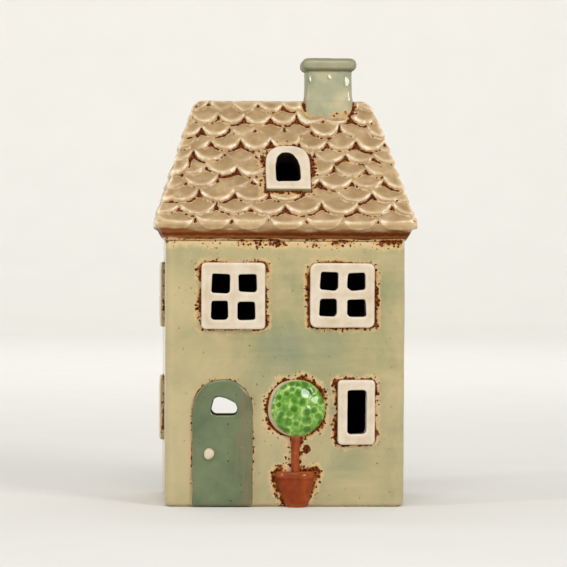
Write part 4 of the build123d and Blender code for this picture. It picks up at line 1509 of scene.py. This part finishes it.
sweep.to_mesh(sweep_mesh)
sweep.free()
sweep_mesh.polygons.foreach_set("use_smooth", np.ones(len(sweep_mesh.polygons), bool))
sweep_object = bpy.data.objects.new("sweep", sweep_mesh)
bpy.context.scene.collection.objects.link(sweep_object)
# Matt studio paper, warm white
paper = bpy.data.materials.new("matt_studio_paper")
paper.use_nodes = True
paper_tree = paper.node_tree
paper_shader = paper_tree.nodes["Principled BSDF"]
paper_place = lay(paper_tree, "ShaderNodeTexCoord").outputs["Object"]
# The sweep is lit behind the object and falls to grey behind the camera, so the glaze mirrors some dark
paper_depth = lay(paper_tree, "ShaderNodeSeparateXYZ", {0: paper_place}).outputs[1]
paper_fibre = lay(
    paper_tree, "ShaderNodeTexNoise", {"Vector": paper_place, "Scale": 1 / (60 * mm), "Detail": 2.0}
)
paper_far = lay(
    paper_tree,
    "ShaderNodeMapRange",
    {"Value": paper_depth, "From Min": -1.3, "From Max": -0.35},
    interpolation_type="SMOOTHSTEP",
).outputs[0]
paper_white = lay(
    paper_tree,
    "ShaderNodeValToRGB",
    {"Fac": paper_fibre.outputs["Fac"]},
    stops=((0.3, "#EFEDE8"), (0.7, "#F1EFEA")),
).outputs[0]
paper_tone = lay(
    paper_tree, "ShaderNodeMix", {0: paper_far, 6: linear("#9C9A95"), 7: paper_white}, data_type="RGBA"
)
paper_tree.links.new(paper_tone.outputs[2], paper_shader.inputs["Base Color"])
paper_shader.inputs["Roughness"].default_value = 0.95
paper_shader.inputs["Specular IOR Level"].default_value = 0.0
sweep_mesh.materials.append(paper)

room_light = bpy.data.worlds.new("white_room")
room_light.use_nodes = True
room_light.node_tree.nodes["Background"].inputs["Color"].default_value = linear("#FFFEFB")
room_light.node_tree.nodes["Background"].inputs["Strength"].default_value = 0.48
bpy.context.scene.world = room_light


def softbox(name, place, aim, width, height, watts):
    """A rectangular lamp at a place, turned to its aim, in metres."""
    lamp = bpy.data.lights.new(name, "AREA")
    lamp.shape = "RECTANGLE"
    lamp.size = width
    lamp.size_y = height
    lamp.energy = watts
    stand = bpy.data.objects.new(name, lamp)
    stand.location = place
    stand.rotation_euler = (Vector(aim) - Vector(place)).to_track_quat("-Z", "Y").to_euler()
    stand.visible_camera = False
    bpy.context.scene.collection.objects.link(stand)


softbox("softbox_right", (0.76, -1.05, 0.6), (0.0, 0.0, 0.1), 0.46, 0.36, 6.8)
softbox("softbox_left", (-1.05, -0.55, 0.5), (0.0, 0.0, 0.1), 0.22, 0.7, 3.6)
softbox("softbox_front", (-0.15, -1.1, 1.1), (0.0, -0.03, 0.1), 0.7, 0.4, 5.0)
softbox("backdrop_lamp", (0.0, 0.9, 1.7), (0.0, 2.7, 0.2), 2.0, 0.4, 23.0)

camera_data = bpy.data.cameras.new("camera")
camera_data.sensor_width = 36.0
camera_data.lens = 183.6
camera_data.clip_start = 0.05
camera_data.clip_end = 50.0
camera = bpy.data.objects.new("camera", camera_data)
camera_place = Vector((-0.067, -1.2375, 0.110))
camera_aim = Vector((-0.00095, -0.0375, 0.093))
camera.location = camera_place
level = (camera_aim - camera_place).to_track_quat("-Z", "Y").to_matrix()
camera.rotation_euler = (level @ Matrix.Rotation(math.radians(0.3), 3, "Z")).to_euler()
bpy.context.scene.collection.objects.link(camera)
bpy.context.scene.camera = camera
bpy.context.scene.view_settings.view_transform = "Standard"
